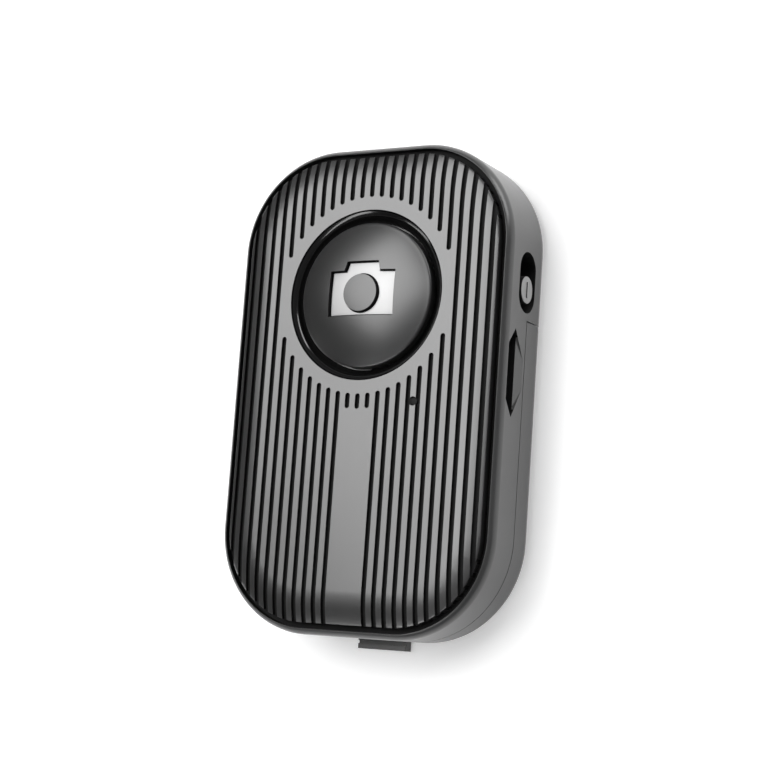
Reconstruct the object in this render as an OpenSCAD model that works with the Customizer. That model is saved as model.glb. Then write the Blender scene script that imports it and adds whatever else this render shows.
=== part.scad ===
// Bluetooth camera shutter remote, lying on its back: +Z out of the front, +Y to the button end,
// +X to the power switch. The origin is the middle of the body outline on the back plane.

/* [Body] */
// Width across the sides
body_w = 38; // [36:0.5:44]
// Length from the top end to the bottom end
body_l = 60.8; // [58:0.2:70]
// Outline radius at the four corners
corner_r = 12.8; // [11.8:0.1:14]
// Rounding of the back edge
back_edge_r = 2.2; // [1:0.1:2.6]
// Distance that the front crown runs in from the side
shoulder_run = 5.5; // [4.5:0.1:6]
// Crown radius of the front shoulder
crown_r = 13.3; // [12:0.1:18]
// Rounding of the rim round the front cover
rim_edge_r = 1.4; // [1.2:0.1:1.6]
// Side wall thickness of the main housing
wall_t = 2; // [1.8:0.1:2.2]
// Back wall thickness of the main housing
back_wall_t = 1.4; // [1:0.1:1.6]

/* [Front cover] */
// Distance from the side of the body to the edge of the cover
cover_inset = 1.45; // [1.4:0.05:1.6]
// Open line between the cover and the rim
cover_gap = 0.7; // [0.5:0.05:0.75]
// Wall thickness of the cover
cover_t = 1.25; // [1.1:0.05:1.4]
// Width of the band that the cover stands on
cover_foot_w = 1.2; // [0.9:0.1:1.5]
// Distance from groove to groove
groove_pitch = 1.4; // [1.2:0.05:1.6]
// Width of a groove
groove_w = 0.56; // [0.4:0.02:0.7]
// Depth of a groove
groove_h = 0.45; // [0.3:0.05:0.6]
// Grooves on each side of the middle one
groove_side_count = 12; // [8:1:12]
// Grooves left out on each side of the middle, below the button
bare_side_count = 1; // [0:1:3]
// Length of the short grooves under the button
stub_l = 1.9; // [1:0.1:3]
// Width of the smooth land round the bezel
land_w = 1.66; // [1.4:0.02:2.4]

/* [Shutter button] */
// Distance from the top end to the button centre
button_inset = 19; // [18.4:0.1:19.6]
// Radius of the button dome
button_r = 9.1; // [8.6:0.05:9.2]
// Height of the dome above the flat of the front
dome_rise = 1.4; // [0.8:0.1:2]
// Drop of the dome edge below the flat of the front
dome_edge_drop = 0.3; // [0.2:0.05:0.6]
// Button travel
button_travel = 0.4; // [0.25:0.05:0.5]
// Wall of the button cap
button_wall_t = 1.2; // [1:0.1:1.4]
// Radius of the button stem
stem_r = 1.5; // [1.2:0.1:2]
// Running gap round the button
button_gap = 0.15; // [0.1:0.01:0.25]
// Width of the bezel ring
bezel_w = 1.39; // [1.2:0.01:1.6]
// Height of the room between the board and the cover
button_room_h = 2.95; // [2.8:0.05:4]

/* [Camera sign] */
// Width of the camera body
icon_w = 9.1; // [7:0.1:10]
// Height of the camera body
icon_h = 5.7; // [5:0.1:6.2]
// Width of the viewfinder hump
icon_hump_w = 4.4; // [3:0.1:5]
// Height of the viewfinder hump
icon_hump_h = 1.15; // [0.8:0.05:1.5]
// Radius of the lens disc
icon_lens_r = 2.3; // [1.6:0.1:2.4]
// Depth of the sign below the dome
icon_depth = 0.5; // [0.3:0.05:0.6]
// Thickness of the silver inlay
icon_inlay_t = 0.12; // [0.08:0.01:0.2]

/* [Side switch] */
// Length of the slider knob
knob_l = 3.4; // [3:0.1:3.6]
// Width of the slider knob
knob_w = 3.2; // [2.9:0.1:3.3]
// How far the knob stands out of the side
knob_proud = 0.05; // [0:0.05:0.4]
// Slider travel from off to on
slider_travel = 2; // [1.5:0.1:2.3]
// Open slot below the knob at rest
knob_rest_gap = 1.15; // [0.8:0.05:1.3]
// Open slot above the knob at the end of its travel
knob_end_gap = 0.95; // [0.5:0.05:1.2]
// Open slot on each side of the knob
knob_side_gap = 0.6; // [0.4:0.05:0.7]

/* [Grip scoops] */
// Distance from the hinge line down to the middle of a scoop
scoop_drop = 6.63; // [6:0.01:7]
// Length of a scoop from point to point
scoop_l = 10.7; // [9:0.1:11.5]
// Length of the edge towards the front
scoop_front_l = 6.8; // [5:0.1:8]
// Length of the edge towards the back
scoop_back_l = 3.5; // [2:0.1:5]
// Width of the ramp, towards the back
scoop_ramp_w = 2.5; // [2:0.05:2.6]
// Depth of the deep part
scoop_h = 1.2; // [0.8:0.05:1.4]
// Depth at the top of the ramp
ramp_h = 0.35; // [0.2:0.05:0.6]

/* [Rear cover] */
// Distance from the top end to the hinge line
hinge_inset = 21.7; // [21.6:0.1:22.4]
// Opening angle of the cover
cover_open_deg = 60; // [40:5:60]
// Floor thickness of the cover
door_floor_t = 1.4; // [1.1:0.1:1.4]
// Side wall thickness of the cover
door_wall_t = 1.5; // [1.2:0.1:1.6]
// Open line between the cover and the housing
seam_gap = 0.12; // [0.1:0.01:0.2]
// Width of the latch tab
tab_w = 6.8; // [5:0.1:8]
// How far the latch tab stands out
tab_out = 1.2; // [0.8:0.1:1.6]
// Thickness of the latch tab
tab_t = 1.4; // [1:0.1:1.6]
// Radius of the hinge pin
pin_r = 0.6; // [0.5:0.05:0.7]
// Running clearance round the pin
pin_clear = 0.06; // [0.04:0.01:0.1]
// Outer radius of the hinge knuckles
knuckle_r = 1.45; // [1.3:0.05:1.5]
// Width of the middle knuckle
knuckle_w = 9.4; // [8:0.2:10]
// Width of each outer knuckle
door_knuckle_w = 6; // [5:0.1:6.4]

/* [Cell] */
// Radius of the coin cell
cell_r = 10; // [8:0.1:10]
// Thickness of the coin cell
cell_t = 3.2; // [2.5:0.1:3.2]
// Place of the cell centre below the body centre
cell_drop = 10; // [9.5:0.1:11]
// Clearance round the cell
cell_clear = 0.2; // [0.1:0.05:0.4]
// Wall of the cell ring
cell_ring_t = 1; // [0.8:0.1:1.2]

/* [Circuit board] */
// Thickness of the board
board_t = 0.8; // [0.6:0.1:1]
// Clearance between the board and the walls
board_clear = 0.4; // [0.3:0.05:0.6]
// Thickness of the deck under the board
deck_t = 1.2; // [1:0.1:1.3]
// Height of the pads that the board stands on
pad_h = 0.4; // [0.3:0.05:0.5]
// Side of the button switch
tact_w = 4.5; // [4:0.1:5]
// Height of the button switch
tact_h = 1.5; // [1.3:0.1:1.6]
// Place of the light beside the middle
light_x = 7.7; // [7.5:0.05:7.9]
// Distance from the button centre down to the light
light_drop = 13.27; // [12.8:0.01:14]
// Radius of the light hole
light_hole_r = 0.56; // [0.5:0.02:0.6]

/* [Screws] */
// Shank radius of a case screw
screw_r = 0.8; // [0.7:0.05:0.9]
// Head radius of a case screw
screw_head_r = 1.5; // [1.3:0.1:1.7]
// Head height of a case screw
screw_head_h = 0.7; // [0.5:0.05:0.9]
// Outer radius of a screw boss
boss_r = 1.7; // [1.6:0.1:1.9]
// Distance from the side to the upper screws
upper_screw_inset = 5.8; // [5.6:0.1:6.4]
// Distance from the hinge line down to the upper screws
upper_screw_drop = 7.9; // [7:0.1:9]
// Distance from the side and from the bottom end to the lower screws
lower_screw_inset = 7.4; // [7.2:0.1:8]

/* [Hidden] */

// Cuts run this far past the faces that they open
overrun = 1;
half_w = body_w / 2;
half_l = body_l / 2;

// Heights, stacked up from the back: floor, pad, cell, contact, deck, board, button room, cover
pad_t = 0.3;
pad_gap = 0.05;
contact_t = 0.2;
contact_gap = 0.05;
cell_z = door_floor_t + pad_t + pad_gap;
cell_top = cell_z + cell_t;
seam_z = cell_top + contact_t + contact_gap;
deck_z = seam_z + deck_t;
board_z = deck_z + pad_h;
board_top = board_z + board_t;
cover_under = board_top + button_room_h;
body_t = cover_under + cover_t;

// Front shoulder: a wide crown arc, then the small arc of the rim
crown_x = corner_r - shoulder_run;
crown_z = body_t - crown_r;
rim_x = corner_r - rim_edge_r;
rim_z = crown_z + sqrt(pow(crown_r - rim_edge_r, 2) - pow(rim_x - crown_x, 2));
blend_x = crown_x + (rim_x - crown_x) * crown_r / (crown_r - rim_edge_r);
cover_edge_x = corner_r - cover_inset;
cover_drop = crown_r - sqrt(crown_r * crown_r - pow(cover_edge_x - crown_x, 2));
ledge_z = body_t - cover_drop - cover_t;
rim_inset = cover_inset - cover_gap;

// Button and bezel
button_y = half_l - button_inset;
bezel_r = button_r + button_gap + bezel_w;
land_r = bezel_r + land_w;
dome_top = body_t + dome_rise;
dome_edge_z = body_t - dome_edge_drop;
dome_sag = dome_top - dome_edge_z;
dome_r = (button_r * button_r + dome_sag * dome_sag) / (2 * dome_sag);
bezel_bore_r = button_r + button_gap;
bezel_lip_w = 0.25;
bezel_moat_w = 0.6;
bezel_moat_drop = 0.9;
bezel_skirt_h = 0.35;
bezel_skirt_z = ledge_z - bezel_skirt_h;
bezel_flange_w = 0.9;
bezel_flange_r = bezel_r + bezel_flange_w;
bezel_fit = 0.04;
button_flange_w = 0.8;
button_flange_r = button_r + button_flange_w;
button_flange_t = 0.7;
button_flange_gap = 0.1;
button_key_w = 1.5;
button_key_gap = 0.15;
key_out = 0.6;
stem_web_t = 0.8;
icon_hump_flare = 0.3;
icon_inlay_gap = 0.15;

// Button switch
tact_top = board_top + tact_h;
tact_plate_t = 0.15;
plunger_r = 1;
plunger_gap = 0.12;
plunger_proud = 0.35;
plunger_top = tact_top + tact_plate_t + button_travel + plunger_proud / 2;
tact_cavity_r = 1.7;
tact_floor_t = 0.3;
snap_r = 1.5;
snap_h = 0.3;
snap_t = 0.1;
tact_leg_w = 0.6;
tact_leg_out = 0.5;
tact_leg_t = 0.2;
tact_leg_y = 1.1;

// Hinge line and the step above it
knuckle_lift = 0.15;
hinge_y = half_l - hinge_inset;
hinge_z = knuckle_r + knuckle_lift;
step_gap = 0.15;
step_y = hinge_y + step_gap;
step_wall_t = 1.2;
hinge_pad_l = 2.2;
hinge_pad_y = step_y + hinge_pad_l;
hinge_pad_rise = 2.1;
hinge_pad_z = hinge_z + hinge_pad_rise;

// Slider and slide switch
wall_inner_x = half_w - wall_t;
slider_gap = 0.1;
slider_end_gap = 0.2;
slider_flange_t = 0.75;
slider_lap_l = 0.6;
slider_lap_w = 0.3;
slider_flange_l = knob_l + 2 * slider_lap_l;
knob_y = step_y + step_wall_t + slider_end_gap + slider_flange_l / 2;
knob_flat_l = 0.1;
knob_corner_r = (min(knob_w, knob_l) - knob_flat_l) / 2;
knob_crown_r = 3.3;
knob_ridge_l = 1.7;
knob_ridge_w = 0.3;
knob_ridge_h = 0.15;
slot_l = knob_l + slider_travel + knob_rest_gap + knob_end_gap;
slot_w = knob_w + 2 * knob_side_gap;
slot_y = knob_y + (slider_travel + knob_end_gap - knob_rest_gap) / 2;
slider_flange_w = slot_w + 2 * slider_lap_w;
lever_l = 1.4;
lever_w = 1.1;
lever_reach = 0.9;
lever_root = 1.6;
lever_gap = 0.05;
shell_t = 0.15;
switch_d = 2.8;
switch_h = 2.3;
switch_window_gap = 0.4;
switch_window_l = lever_l + slider_travel + 2 * switch_window_gap;
switch_end_t = 1.25;
switch_l = switch_window_l + 2 * switch_end_t;
switch_y = knob_y + slider_travel / 2;
switch_gap = 0.25;
switch_face_x = wall_inner_x - slider_gap - slider_flange_t - switch_gap;
switch_room = 0.1;
slot_z = board_z - switch_h / 2;

// Grip scoops
scoop_sill = 0.4;
scoop_roof_t = 0.2;
scoop_y = hinge_y - scoop_drop;
scoop_mid_z = seam_z + scoop_sill + scoop_ramp_w;
scoop_high_z = ledge_z - scoop_roof_t;

// Rear cover and latch
knuckle_gap = 0.2;
door_knuckle_x = knuckle_w / 2 + knuckle_gap;
notch_clear = 0.15;
pin_end_gap = 0.2;
pin_cap_t = 0.9;
pin_l = 2 * (door_knuckle_x + door_knuckle_w - pin_cap_t);
pin_fit = 0.03;
lip_t = 0.9;
lip_h = 1;
lip_gap = 0.15;
lip_stop_gap = 4.5;
lip_stop_y = hinge_y - lip_stop_gap;
slit_w = 0.4;
tab_groove_w = 0.35;
tab_groove_h = 0.3;
tab_groove_out = 0.2;
catch_w = 4;
catch_h = 0.5;
catch_out = 0.45;

// Cell and contacts
cell_cap_w = 1.4;
cell_cap_r = cell_r - cell_cap_w;
cell_cap_h = 0.35;
cell_ring_z = 2.4;
contact_w = 5;
contact_slot_clear = 0.15;
cell_side_y = cell_r + cell_clear / 2 - cell_drop;
finger_notch_w = 9;
finger_notch_h = 1.3;
negative_drop = 6;
negative_y = -cell_drop - negative_drop;
negative_l = 5;
foot_l = 1.2;

// Board parts
light_y = button_y - light_drop;
chip_w = 4;
chip_h = 0.75;
chip_inset = 11.5;
chip_x = chip_inset - half_w;
chip_y = -6;
crystal_l = 3.2;
crystal_w = 2.5;
crystal_h = 0.7;
part_gap = 1.75;
crystal_y = chip_y - (chip_w + crystal_w) / 2 - part_gap;
cap_l = 1;
cap_w = 0.5;
cap_h = 0.5;
cap_pitch = 1.6;
cap_count = 6;
cap_gap = 1.5;
cap_x = chip_x + chip_w / 2 + cap_gap;
cap_y = -11;
led_l = 1.6;
led_w = 0.8;
led_h = 0.6;
guide_fit = 0.04;
guide_r = light_hole_r - guide_fit;
guide_flange_r = 0.95;
guide_flange_t = 0.6;
guide_recess = 0.2;
guide_led_gap = 0.15;
trace_w = 0.6;
trace_t = 0.07;
trace_pitch = 1.5;
trace_l = 3;
trace_turns = 5;
trace_inset = 5.9;
trace_y = trace_inset - half_l;

// Screws
screw_fit = 0.03;
screw_hole_clear = 0.15;
screw_hole_r = screw_r + screw_hole_clear;
screw_tip_gap = 0.2;
screw_slot_w = 0.35;
screw_slot_h = 0.3;
post_side_inset = 9.5;
post_end_inset = 7.9;
post_x = half_w - post_side_inset;
post_y = half_l - post_end_inset;
post_r = 1.5;
upper_screw_x = half_w - upper_screw_inset;
upper_screw_y = hinge_y - upper_screw_drop;
lower_screw_x = half_w - lower_screw_inset;
lower_screw_y = lower_screw_inset - half_l;
screw_spots = [[upper_screw_x, upper_screw_y], [-upper_screw_x, upper_screw_y],
    [lower_screw_x, lower_screw_y], [-lower_screw_x, lower_screw_y]];

// Outline of the body, drawn in by the inset
module outline(inset) {
    r = corner_r - inset;
    x = half_w - corner_r;
    y = half_l - corner_r;
    square([2 * x, 2 * (y + r)], center = true);
    square([2 * (x + r), 2 * y], center = true);
    for (sx = [-1, 1], sy = [-1, 1])
        translate([sx * x, sy * y]) circle(r = r, $fn = 96);
}

// Carries a section, drawn from the corner's centre outwards, round the whole outline
module carried(floor_z, roof_z) {
    x = half_w - corner_r;
    y = half_l - corner_r;
    for (my = [0, 1]) mirror([0, my, 0]) {
        for (mx = [0, 1]) mirror([mx, 0, 0])
            translate([x, y, 0]) rotate_extrude(angle = 90, $fn = 96) children();
        translate([0, y, 0]) rotate([90, 0, 90])
            linear_extrude(height = 2 * x, center = true) children();
    }
    rotate([90, 0, 0]) linear_extrude(height = 2 * y, center = true) union() {
        for (mx = [0, 1]) mirror([mx, 0]) translate([x, 0]) children();
        translate([-x, floor_z]) square([2 * x, roof_z - floor_z]);
    }
}

// Section of the closed body: rounded back edge, straight side, rim arc and crown
module body_section() {
    square([corner_r - back_edge_r, rim_z]);
    translate([corner_r - back_edge_r, back_edge_r]) circle(r = back_edge_r, $fn = 64);
    translate([0, back_edge_r]) square([corner_r, rim_z - back_edge_r]);
    translate([rim_x, rim_z]) circle(r = rim_edge_r, $fn = 64);
    translate([0, rim_z]) square([crown_x, body_t - rim_z]);
    crown_band(blend_x, rim_z);
}

// Part of the crown from the flat out to an edge, above a level
module crown_band(edge_x, low_z) {
    intersection() {
        translate([crown_x, crown_z]) circle(r = crown_r, $fn = 256);
        translate([crown_x - overrun, low_z]) square([edge_x - crown_x + overrun, crown_r]);
    }
}

module body_blank() {
    carried(0, body_t) body_section();
}

// Crowned plate that fills the front opening, lowered by a drop and drawn in by an inset
module crown_plate(drop, inset, low_z) {
    edge_x = corner_r - inset;
    intersection() {
        translate([0, 0, -drop]) carried(low_z, body_t) {
            translate([0, low_z]) square([crown_x, body_t - low_z]);
            crown_band(corner_r - cover_inset + cover_gap, low_z);
        }
        translate([0, 0, low_z - drop - overrun]) linear_extrude(height = body_t) outline(inset);
    }
}

// Outlines of all the grooves, with round ends at the button
module groove_lines() {
    r = groove_w / 2;
    for (k = [-groove_side_count : groove_side_count]) {
        x = k * groove_pitch;
        near = abs(x) < land_r;
        reach = near ? sqrt(land_r * land_r - x * x) : 0;
        low_end = abs(k) <= bare_side_count ? button_y - reach - stub_l : -half_l - overrun;
        if (near) {
            groove_line(x, button_y + reach, half_l + overrun, r);
            groove_line(x, low_end, button_y - reach, r);
        } else {
            groove_line(x, -half_l - overrun, half_l + overrun, r);
        }
    }
}

module groove_line(x, low, high, r) {
    translate([x - r, low + r]) square([2 * r, high - low - 2 * r]);
    for (y = [low + r, high - r]) translate([x, y]) circle(r = r, $fn = 24);
}

module screw_places() {
    for (spot = screw_spots) translate([spot[0], spot[1], 0]) children();
}

module front_cover() {
    color([0.1, 0.1, 0.11]) difference() {
        union() {
            difference() {
                crown_plate(0, cover_inset, ledge_z);
                crown_plate(cover_t, cover_inset + cover_foot_w, ledge_z);
                difference() {
                    translate([0, 0, ledge_z]) linear_extrude(height = body_t) groove_lines();
                    crown_plate(groove_h, cover_inset - cover_gap, ledge_z);
                }
            }
            screw_places() translate([0, 0, board_top])
                cylinder(r = boss_r, h = cover_under + cover_t / 2 - board_top, $fn = 48);
        }
        translate([0, button_y, board_top])
            cylinder(r = bezel_r + bezel_fit, h = body_t, $fn = 128);
        translate([light_x, light_y, board_top]) cylinder(r = light_hole_r, h = body_t, $fn = 32);
        screw_places() translate([0, 0, board_top - overrun])
            cylinder(r = screw_r + screw_fit, h = cover_under - board_top + overrun, $fn = 48);
    }
}

// Six-sided outline of a grip scoop in the side wall, part of it between two heights
module scoop_outline() {
    low_z = scoop_mid_z - scoop_ramp_w;
    polygon([[scoop_y + scoop_l / 2, scoop_mid_z],
        [scoop_y + scoop_front_l / 2, scoop_high_z], [scoop_y - scoop_front_l / 2, scoop_high_z],
        [scoop_y - scoop_l / 2, scoop_mid_z],
        [scoop_y - scoop_back_l / 2, low_z], [scoop_y + scoop_back_l / 2, low_z]]);
}

module scoop_cut() {
    slope = atan(ramp_h / scoop_ramp_w);
    intersection() {
        translate([half_w - scoop_h, 0, 0]) rotate([90, 0, 90])
            linear_extrude(height = scoop_h + overrun) scoop_outline();
        union() {
            translate([half_w - scoop_h, scoop_y - scoop_l, scoop_mid_z])
                cube([scoop_h + overrun, 2 * scoop_l, body_t]);
            translate([half_w, scoop_y - scoop_l, scoop_mid_z - scoop_ramp_w]) rotate([0, -slope, 0])
                cube([scoop_h + overrun, 2 * scoop_l, scoop_ramp_w + scoop_h]);
        }
    }
}

// Long hole with round ends, running along Y, cut in from the side
module side_slot(length, width, depth) {
    rotate([90, 0, 90]) linear_extrude(height = depth) {
        square([length - width, width], center = true);
        for (s = [-1, 1]) translate([s * (length - width) / 2, 0]) circle(d = width, $fn = 64);
    }
}

// Everything behind the seam plane and below the step, which the rear cover fills
module rear_space(gap_y, top_z) {
    translate([-body_w, -body_l, -overrun])
        cube([2 * body_w, body_l + hinge_y + gap_y, top_z + overrun]);
}

module cell_ring() {
    translate([0, -cell_drop, cell_ring_z]) difference() {
        cylinder(r = cell_r + cell_clear + cell_ring_t, h = seam_z - cell_ring_z + deck_t / 2, $fn = 128);
        translate([0, 0, -overrun])
            cylinder(r = cell_r + cell_clear, h = seam_z - cell_ring_z + overrun, $fn = 128);
        translate([-finger_notch_w / 2, -2 * cell_r, -overrun])
            cube([finger_notch_w, 2 * cell_r, overrun + finger_notch_h]);
        translate([-contact_w / 2 - contact_slot_clear, 0, -overrun])
            cube([contact_w + 2 * contact_slot_clear, 2 * cell_r, seam_z - cell_ring_z + 2 * overrun]);
    }
}

// Low wall inside the seam that guides the rear cover's walls
module seam_lip() {
    inset = door_wall_t + lip_gap;
    intersection() {
        translate([0, 0, seam_z - lip_h]) linear_extrude(height = lip_h + deck_t / 2) difference() {
            outline(inset);
            outline(inset + lip_t);
        }
        translate([-body_w, -body_l, 0]) cube([2 * body_w, body_l + lip_stop_y, body_t]);
    }
}

module pin_bar(r, x_low, x_high) {
    translate([x_low, hinge_y, hinge_z]) rotate([0, 90, 0]) cylinder(r = r, h = x_high - x_low, $fn = 48);
}

module housing_shell() {
    difference() {
        body_blank();
        rear_space(step_gap, seam_z);
        translate([0, 0, deck_z]) linear_extrude(height = body_t) outline(wall_t);
        intersection() {
            translate([0, 0, back_wall_t]) linear_extrude(height = body_t) outline(wall_t);
            translate([-body_w, step_y + step_wall_t, 0]) cube([2 * body_w, body_l, body_t]);
        }
        translate([0, 0, ledge_z]) linear_extrude(height = body_t) outline(rim_inset);
    }
}

module main_housing() {
    pad_half = door_knuckle_x + door_knuckle_w + step_wall_t;
    color([0.13, 0.13, 0.14]) difference() {
        union() {
            housing_shell();
            cell_ring();
            seam_lip();
            translate([-pad_half, step_y, 0]) cube([2 * pad_half, hinge_pad_y - step_y, hinge_pad_z]);
            pin_bar(knuckle_r, -knuckle_w / 2, knuckle_w / 2);
            translate([-knuckle_w / 2, hinge_y, hinge_z - knuckle_r])
                cube([knuckle_w, hinge_pad_y - hinge_y, 2 * knuckle_r]);
            screw_places() translate([0, 0, deck_z - deck_t / 2])
                cylinder(r = boss_r, h = pad_h + deck_t / 2, $fn = 48);
            for (sx = [-1, 1]) translate([sx * post_x, post_y, back_wall_t / 2])
                cylinder(r = post_r, h = board_z - back_wall_t / 2, $fn = 32);
        }
        translate([wall_inner_x - overrun, slot_y, slot_z]) side_slot(slot_l, slot_w, wall_t + 2 * overrun);
        for (mx = [0, 1]) mirror([mx, 0, 0]) {
            scoop_cut();
            pin_bar(knuckle_r + notch_clear, door_knuckle_x - knuckle_gap,
                door_knuckle_x + door_knuckle_w + knuckle_gap);
            translate([door_knuckle_x - knuckle_gap, hinge_y, -overrun])
                cube([door_knuckle_w + 2 * knuckle_gap, knuckle_r + notch_clear, hinge_z + overrun]);
        }
        pin_bar(pin_r + pin_fit, -knuckle_w, knuckle_w);
        screw_places() cylinder(r = screw_hole_r, h = board_top, $fn = 48);
        positive_slot();
        negative_slot();
        switch_pocket();
        catch_seat();
    }
}

// Slots in the deck for the two contacts
module positive_slot() {
    translate([-contact_w / 2 - contact_slot_clear, cell_side_y - contact_slot_clear, cell_ring_z])
        cube([contact_w + 2 * contact_slot_clear, contact_t + 2 * contact_slot_clear, body_t]);
}

module negative_slot() {
    translate([-contact_w / 2 - contact_slot_clear, negative_y - contact_slot_clear, seam_z - overrun])
        cube([contact_w + 2 * contact_slot_clear, contact_t + 2 * contact_slot_clear, body_t]);
}

// Room for the slide switch, which hangs under the board
module switch_pocket() {
    translate([switch_face_x - switch_d - switch_room, switch_y - switch_l / 2 - shell_t - switch_room,
        board_z - switch_h - shell_t - switch_room])
        cube([switch_d + 2 * switch_room, switch_l + 2 * (shell_t + switch_room), body_t]);
}

// Opening in the seam lip that the latch bump slides up into
module catch_seat() {
    translate([-catch_w / 2 - lip_gap, -half_l + door_wall_t, seam_z - lip_h - overrun])
        cube([catch_w + 2 * lip_gap, catch_out + lip_gap, lip_h + overrun]);
}

module button_bezel() {
    low_z = bezel_skirt_z;
    flange_top = cover_under;
    color([0.02, 0.02, 0.02]) translate([0, button_y, 0]) difference() {
        rotate_extrude($fn = 128) polygon([
            [bezel_bore_r, low_z], [bezel_flange_r, low_z], [bezel_flange_r, flange_top],
            [bezel_r, flange_top], [bezel_r, body_t], [bezel_r - bezel_lip_w, body_t],
            [bezel_bore_r + bezel_moat_w, body_t - bezel_moat_drop],
            [bezel_bore_r, body_t - bezel_moat_drop]]);
        translate([-button_key_w / 2 - button_key_gap, -bezel_bore_r - key_out, low_z - overrun])
            cube([button_key_w + 2 * button_key_gap, bezel_bore_r, dome_edge_z - low_z]);
    }
}

module dome_solid(sink, r, low_z) {
    intersection() {
        translate([0, 0, dome_top - dome_r - sink]) sphere(r = dome_r, $fn = 180);
        translate([0, 0, low_z]) cylinder(r = r, h = dome_top - low_z + overrun, $fn = 128);
    }
}

// Camera outline drawn in by a gap, with the lens disc left standing
module icon_outline(gap) {
    half = icon_w / 2 - gap;
    top = icon_h / 2 - gap;
    hump = icon_hump_w / 2 - gap;
    difference() {
        polygon([[-half, -top], [half, -top], [half, top], [hump + icon_hump_flare, top],
            [hump, top + icon_hump_h], [-hump, top + icon_hump_h],
            [-hump - icon_hump_flare, top], [-half, top]]);
        circle(r = icon_lens_r + gap, $fn = 64);
    }
}

module shutter_button() {
    flange_top = bezel_skirt_z - button_flange_gap;
    flange_low = flange_top - button_flange_t;
    inner_r = button_r - button_wall_t;
    web_low = plunger_top + button_wall_t;
    color([0.16, 0.16, 0.17]) translate([0, button_y, 0]) difference() {
        union() {
            difference() {
                union() {
                    dome_solid(0, button_r, flange_top - button_flange_t / 2);
                    translate([0, 0, flange_low])
                        cylinder(r = button_flange_r, h = button_flange_t, $fn = 128);
                    translate([-button_key_w / 2, button_key_gap - key_out - button_r, flange_low])
                        cube([button_key_w, button_r, dome_edge_z - flange_top - button_travel]);
                }
                intersection() {
                    translate([0, 0, dome_top - dome_r - button_wall_t]) sphere(r = dome_r, $fn = 180);
                    translate([0, 0, flange_low - overrun])
                        cylinder(r = inner_r, h = body_t, $fn = 128);
                }
            }
            intersection() {
                dome_solid(button_wall_t / 2, inner_r + button_wall_t / 2, plunger_top);
                union() {
                    translate([0, 0, plunger_top]) cylinder(r = stem_r, h = body_t, $fn = 48);
                    for (a = [0, 90]) rotate([0, 0, a]) translate([-button_r, -stem_web_t / 2, web_low])
                        cube([2 * button_r, stem_web_t, body_t]);
                }
            }
        }
        difference() {
            translate([0, 0, body_t]) linear_extrude(height = dome_rise + overrun) icon_outline(0);
            translate([0, 0, dome_top - dome_r - icon_depth - icon_inlay_t]) sphere(r = dome_r, $fn = 180);
        }
    }
}

module camera_icon_inlay() {
    color([0.85, 0.85, 0.86]) translate([0, button_y, 0]) difference() {
        intersection() {
            translate([0, 0, body_t]) linear_extrude(height = dome_rise + overrun) icon_outline(icon_inlay_gap);
            translate([0, 0, dome_top - dome_r - icon_depth]) sphere(r = dome_r, $fn = 180);
        }
        translate([0, 0, dome_top - dome_r - icon_depth - icon_inlay_t]) sphere(r = dome_r, $fn = 180);
    }
}

module light_guide() {
    color([0.05, 0.05, 0.06]) translate([light_x, light_y, 0]) {
        translate([0, 0, board_top + led_h + guide_led_gap])
            cylinder(r = guide_r, h = body_t - guide_recess - board_top - led_h - guide_led_gap, $fn = 32);
        translate([0, 0, cover_under - guide_flange_t])
            cylinder(r = guide_flange_r, h = guide_flange_t, $fn = 32);
    }
}

module circuit_board() {
    color([0.05, 0.3, 0.16]) difference() {
        translate([0, 0, board_z]) linear_extrude(height = board_t) outline(wall_t + board_clear);
        screw_places() cylinder(r = screw_hole_r, h = body_t, $fn = 48);
        translate([switch_face_x, slot_y - slot_l / 2 - slider_gap, board_z - overrun])
            cube([half_w, slot_l + 2 * slider_gap, board_t + 2 * overrun]);
    }
}

module tact_switch_base() {
    color([0.08, 0.08, 0.08]) translate([0, button_y, board_top]) difference() {
        translate([-tact_w / 2, -tact_w / 2, 0]) cube([tact_w, tact_w, tact_h]);
        translate([0, 0, tact_floor_t]) cylinder(r = tact_cavity_r, h = tact_h, $fn = 48);
    }
}

module tact_switch_plate() {
    plate_top = tact_top + tact_plate_t;
    color([0.75, 0.75, 0.77]) translate([0, button_y, 0]) difference() {
        union() {
            translate([-tact_w / 2, -tact_w / 2, tact_top]) cube([tact_w, tact_w, tact_plate_t]);
            for (sy = [-1, 1]) translate([0, sy * tact_leg_y, tact_top + tact_plate_t / 2])
                cube([tact_w + 2 * tact_plate_t, tact_leg_w, tact_plate_t], center = true);
            for (sx = [-1, 1], sy = [-1, 1])
                translate([sx * (tact_w + tact_leg_out) / 2, sy * tact_leg_y, board_top + tact_leg_t / 2])
                    cube([tact_leg_out, tact_leg_w, tact_leg_t], center = true);
            for (sx = [-1, 1], sy = [-1, 1])
                translate([sx * (tact_w + tact_plate_t) / 2, sy * tact_leg_y, (board_top + plate_top) / 2])
                    cube([tact_plate_t, tact_leg_w, tact_h + tact_plate_t], center = true);
        }
        translate([0, 0, tact_top - overrun])
            cylinder(r = plunger_r + plunger_gap, h = 2 * overrun, $fn = 48);
    }
}

module tact_snap_dome() {
    snap_curve_r = (snap_r * snap_r + snap_h * snap_h) / (2 * snap_h);
    low_z = board_top + tact_floor_t;
    color([0.8, 0.78, 0.7]) translate([0, button_y, low_z + snap_h - snap_curve_r]) difference() {
        intersection() {
            sphere(r = snap_curve_r, $fn = 96);
            translate([0, 0, snap_curve_r - snap_h]) cylinder(r = snap_r, h = snap_h, $fn = 48);
        }
        sphere(r = snap_curve_r - snap_t, $fn = 96);
    }
}

module tact_plunger() {
    low_z = board_top + tact_floor_t + snap_h + button_travel + plunger_gap / 2;
    color([0.6, 0.1, 0.1]) translate([0, button_y, low_z])
        cylinder(r = plunger_r, h = plunger_top - low_z, $fn = 48);
}

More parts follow.
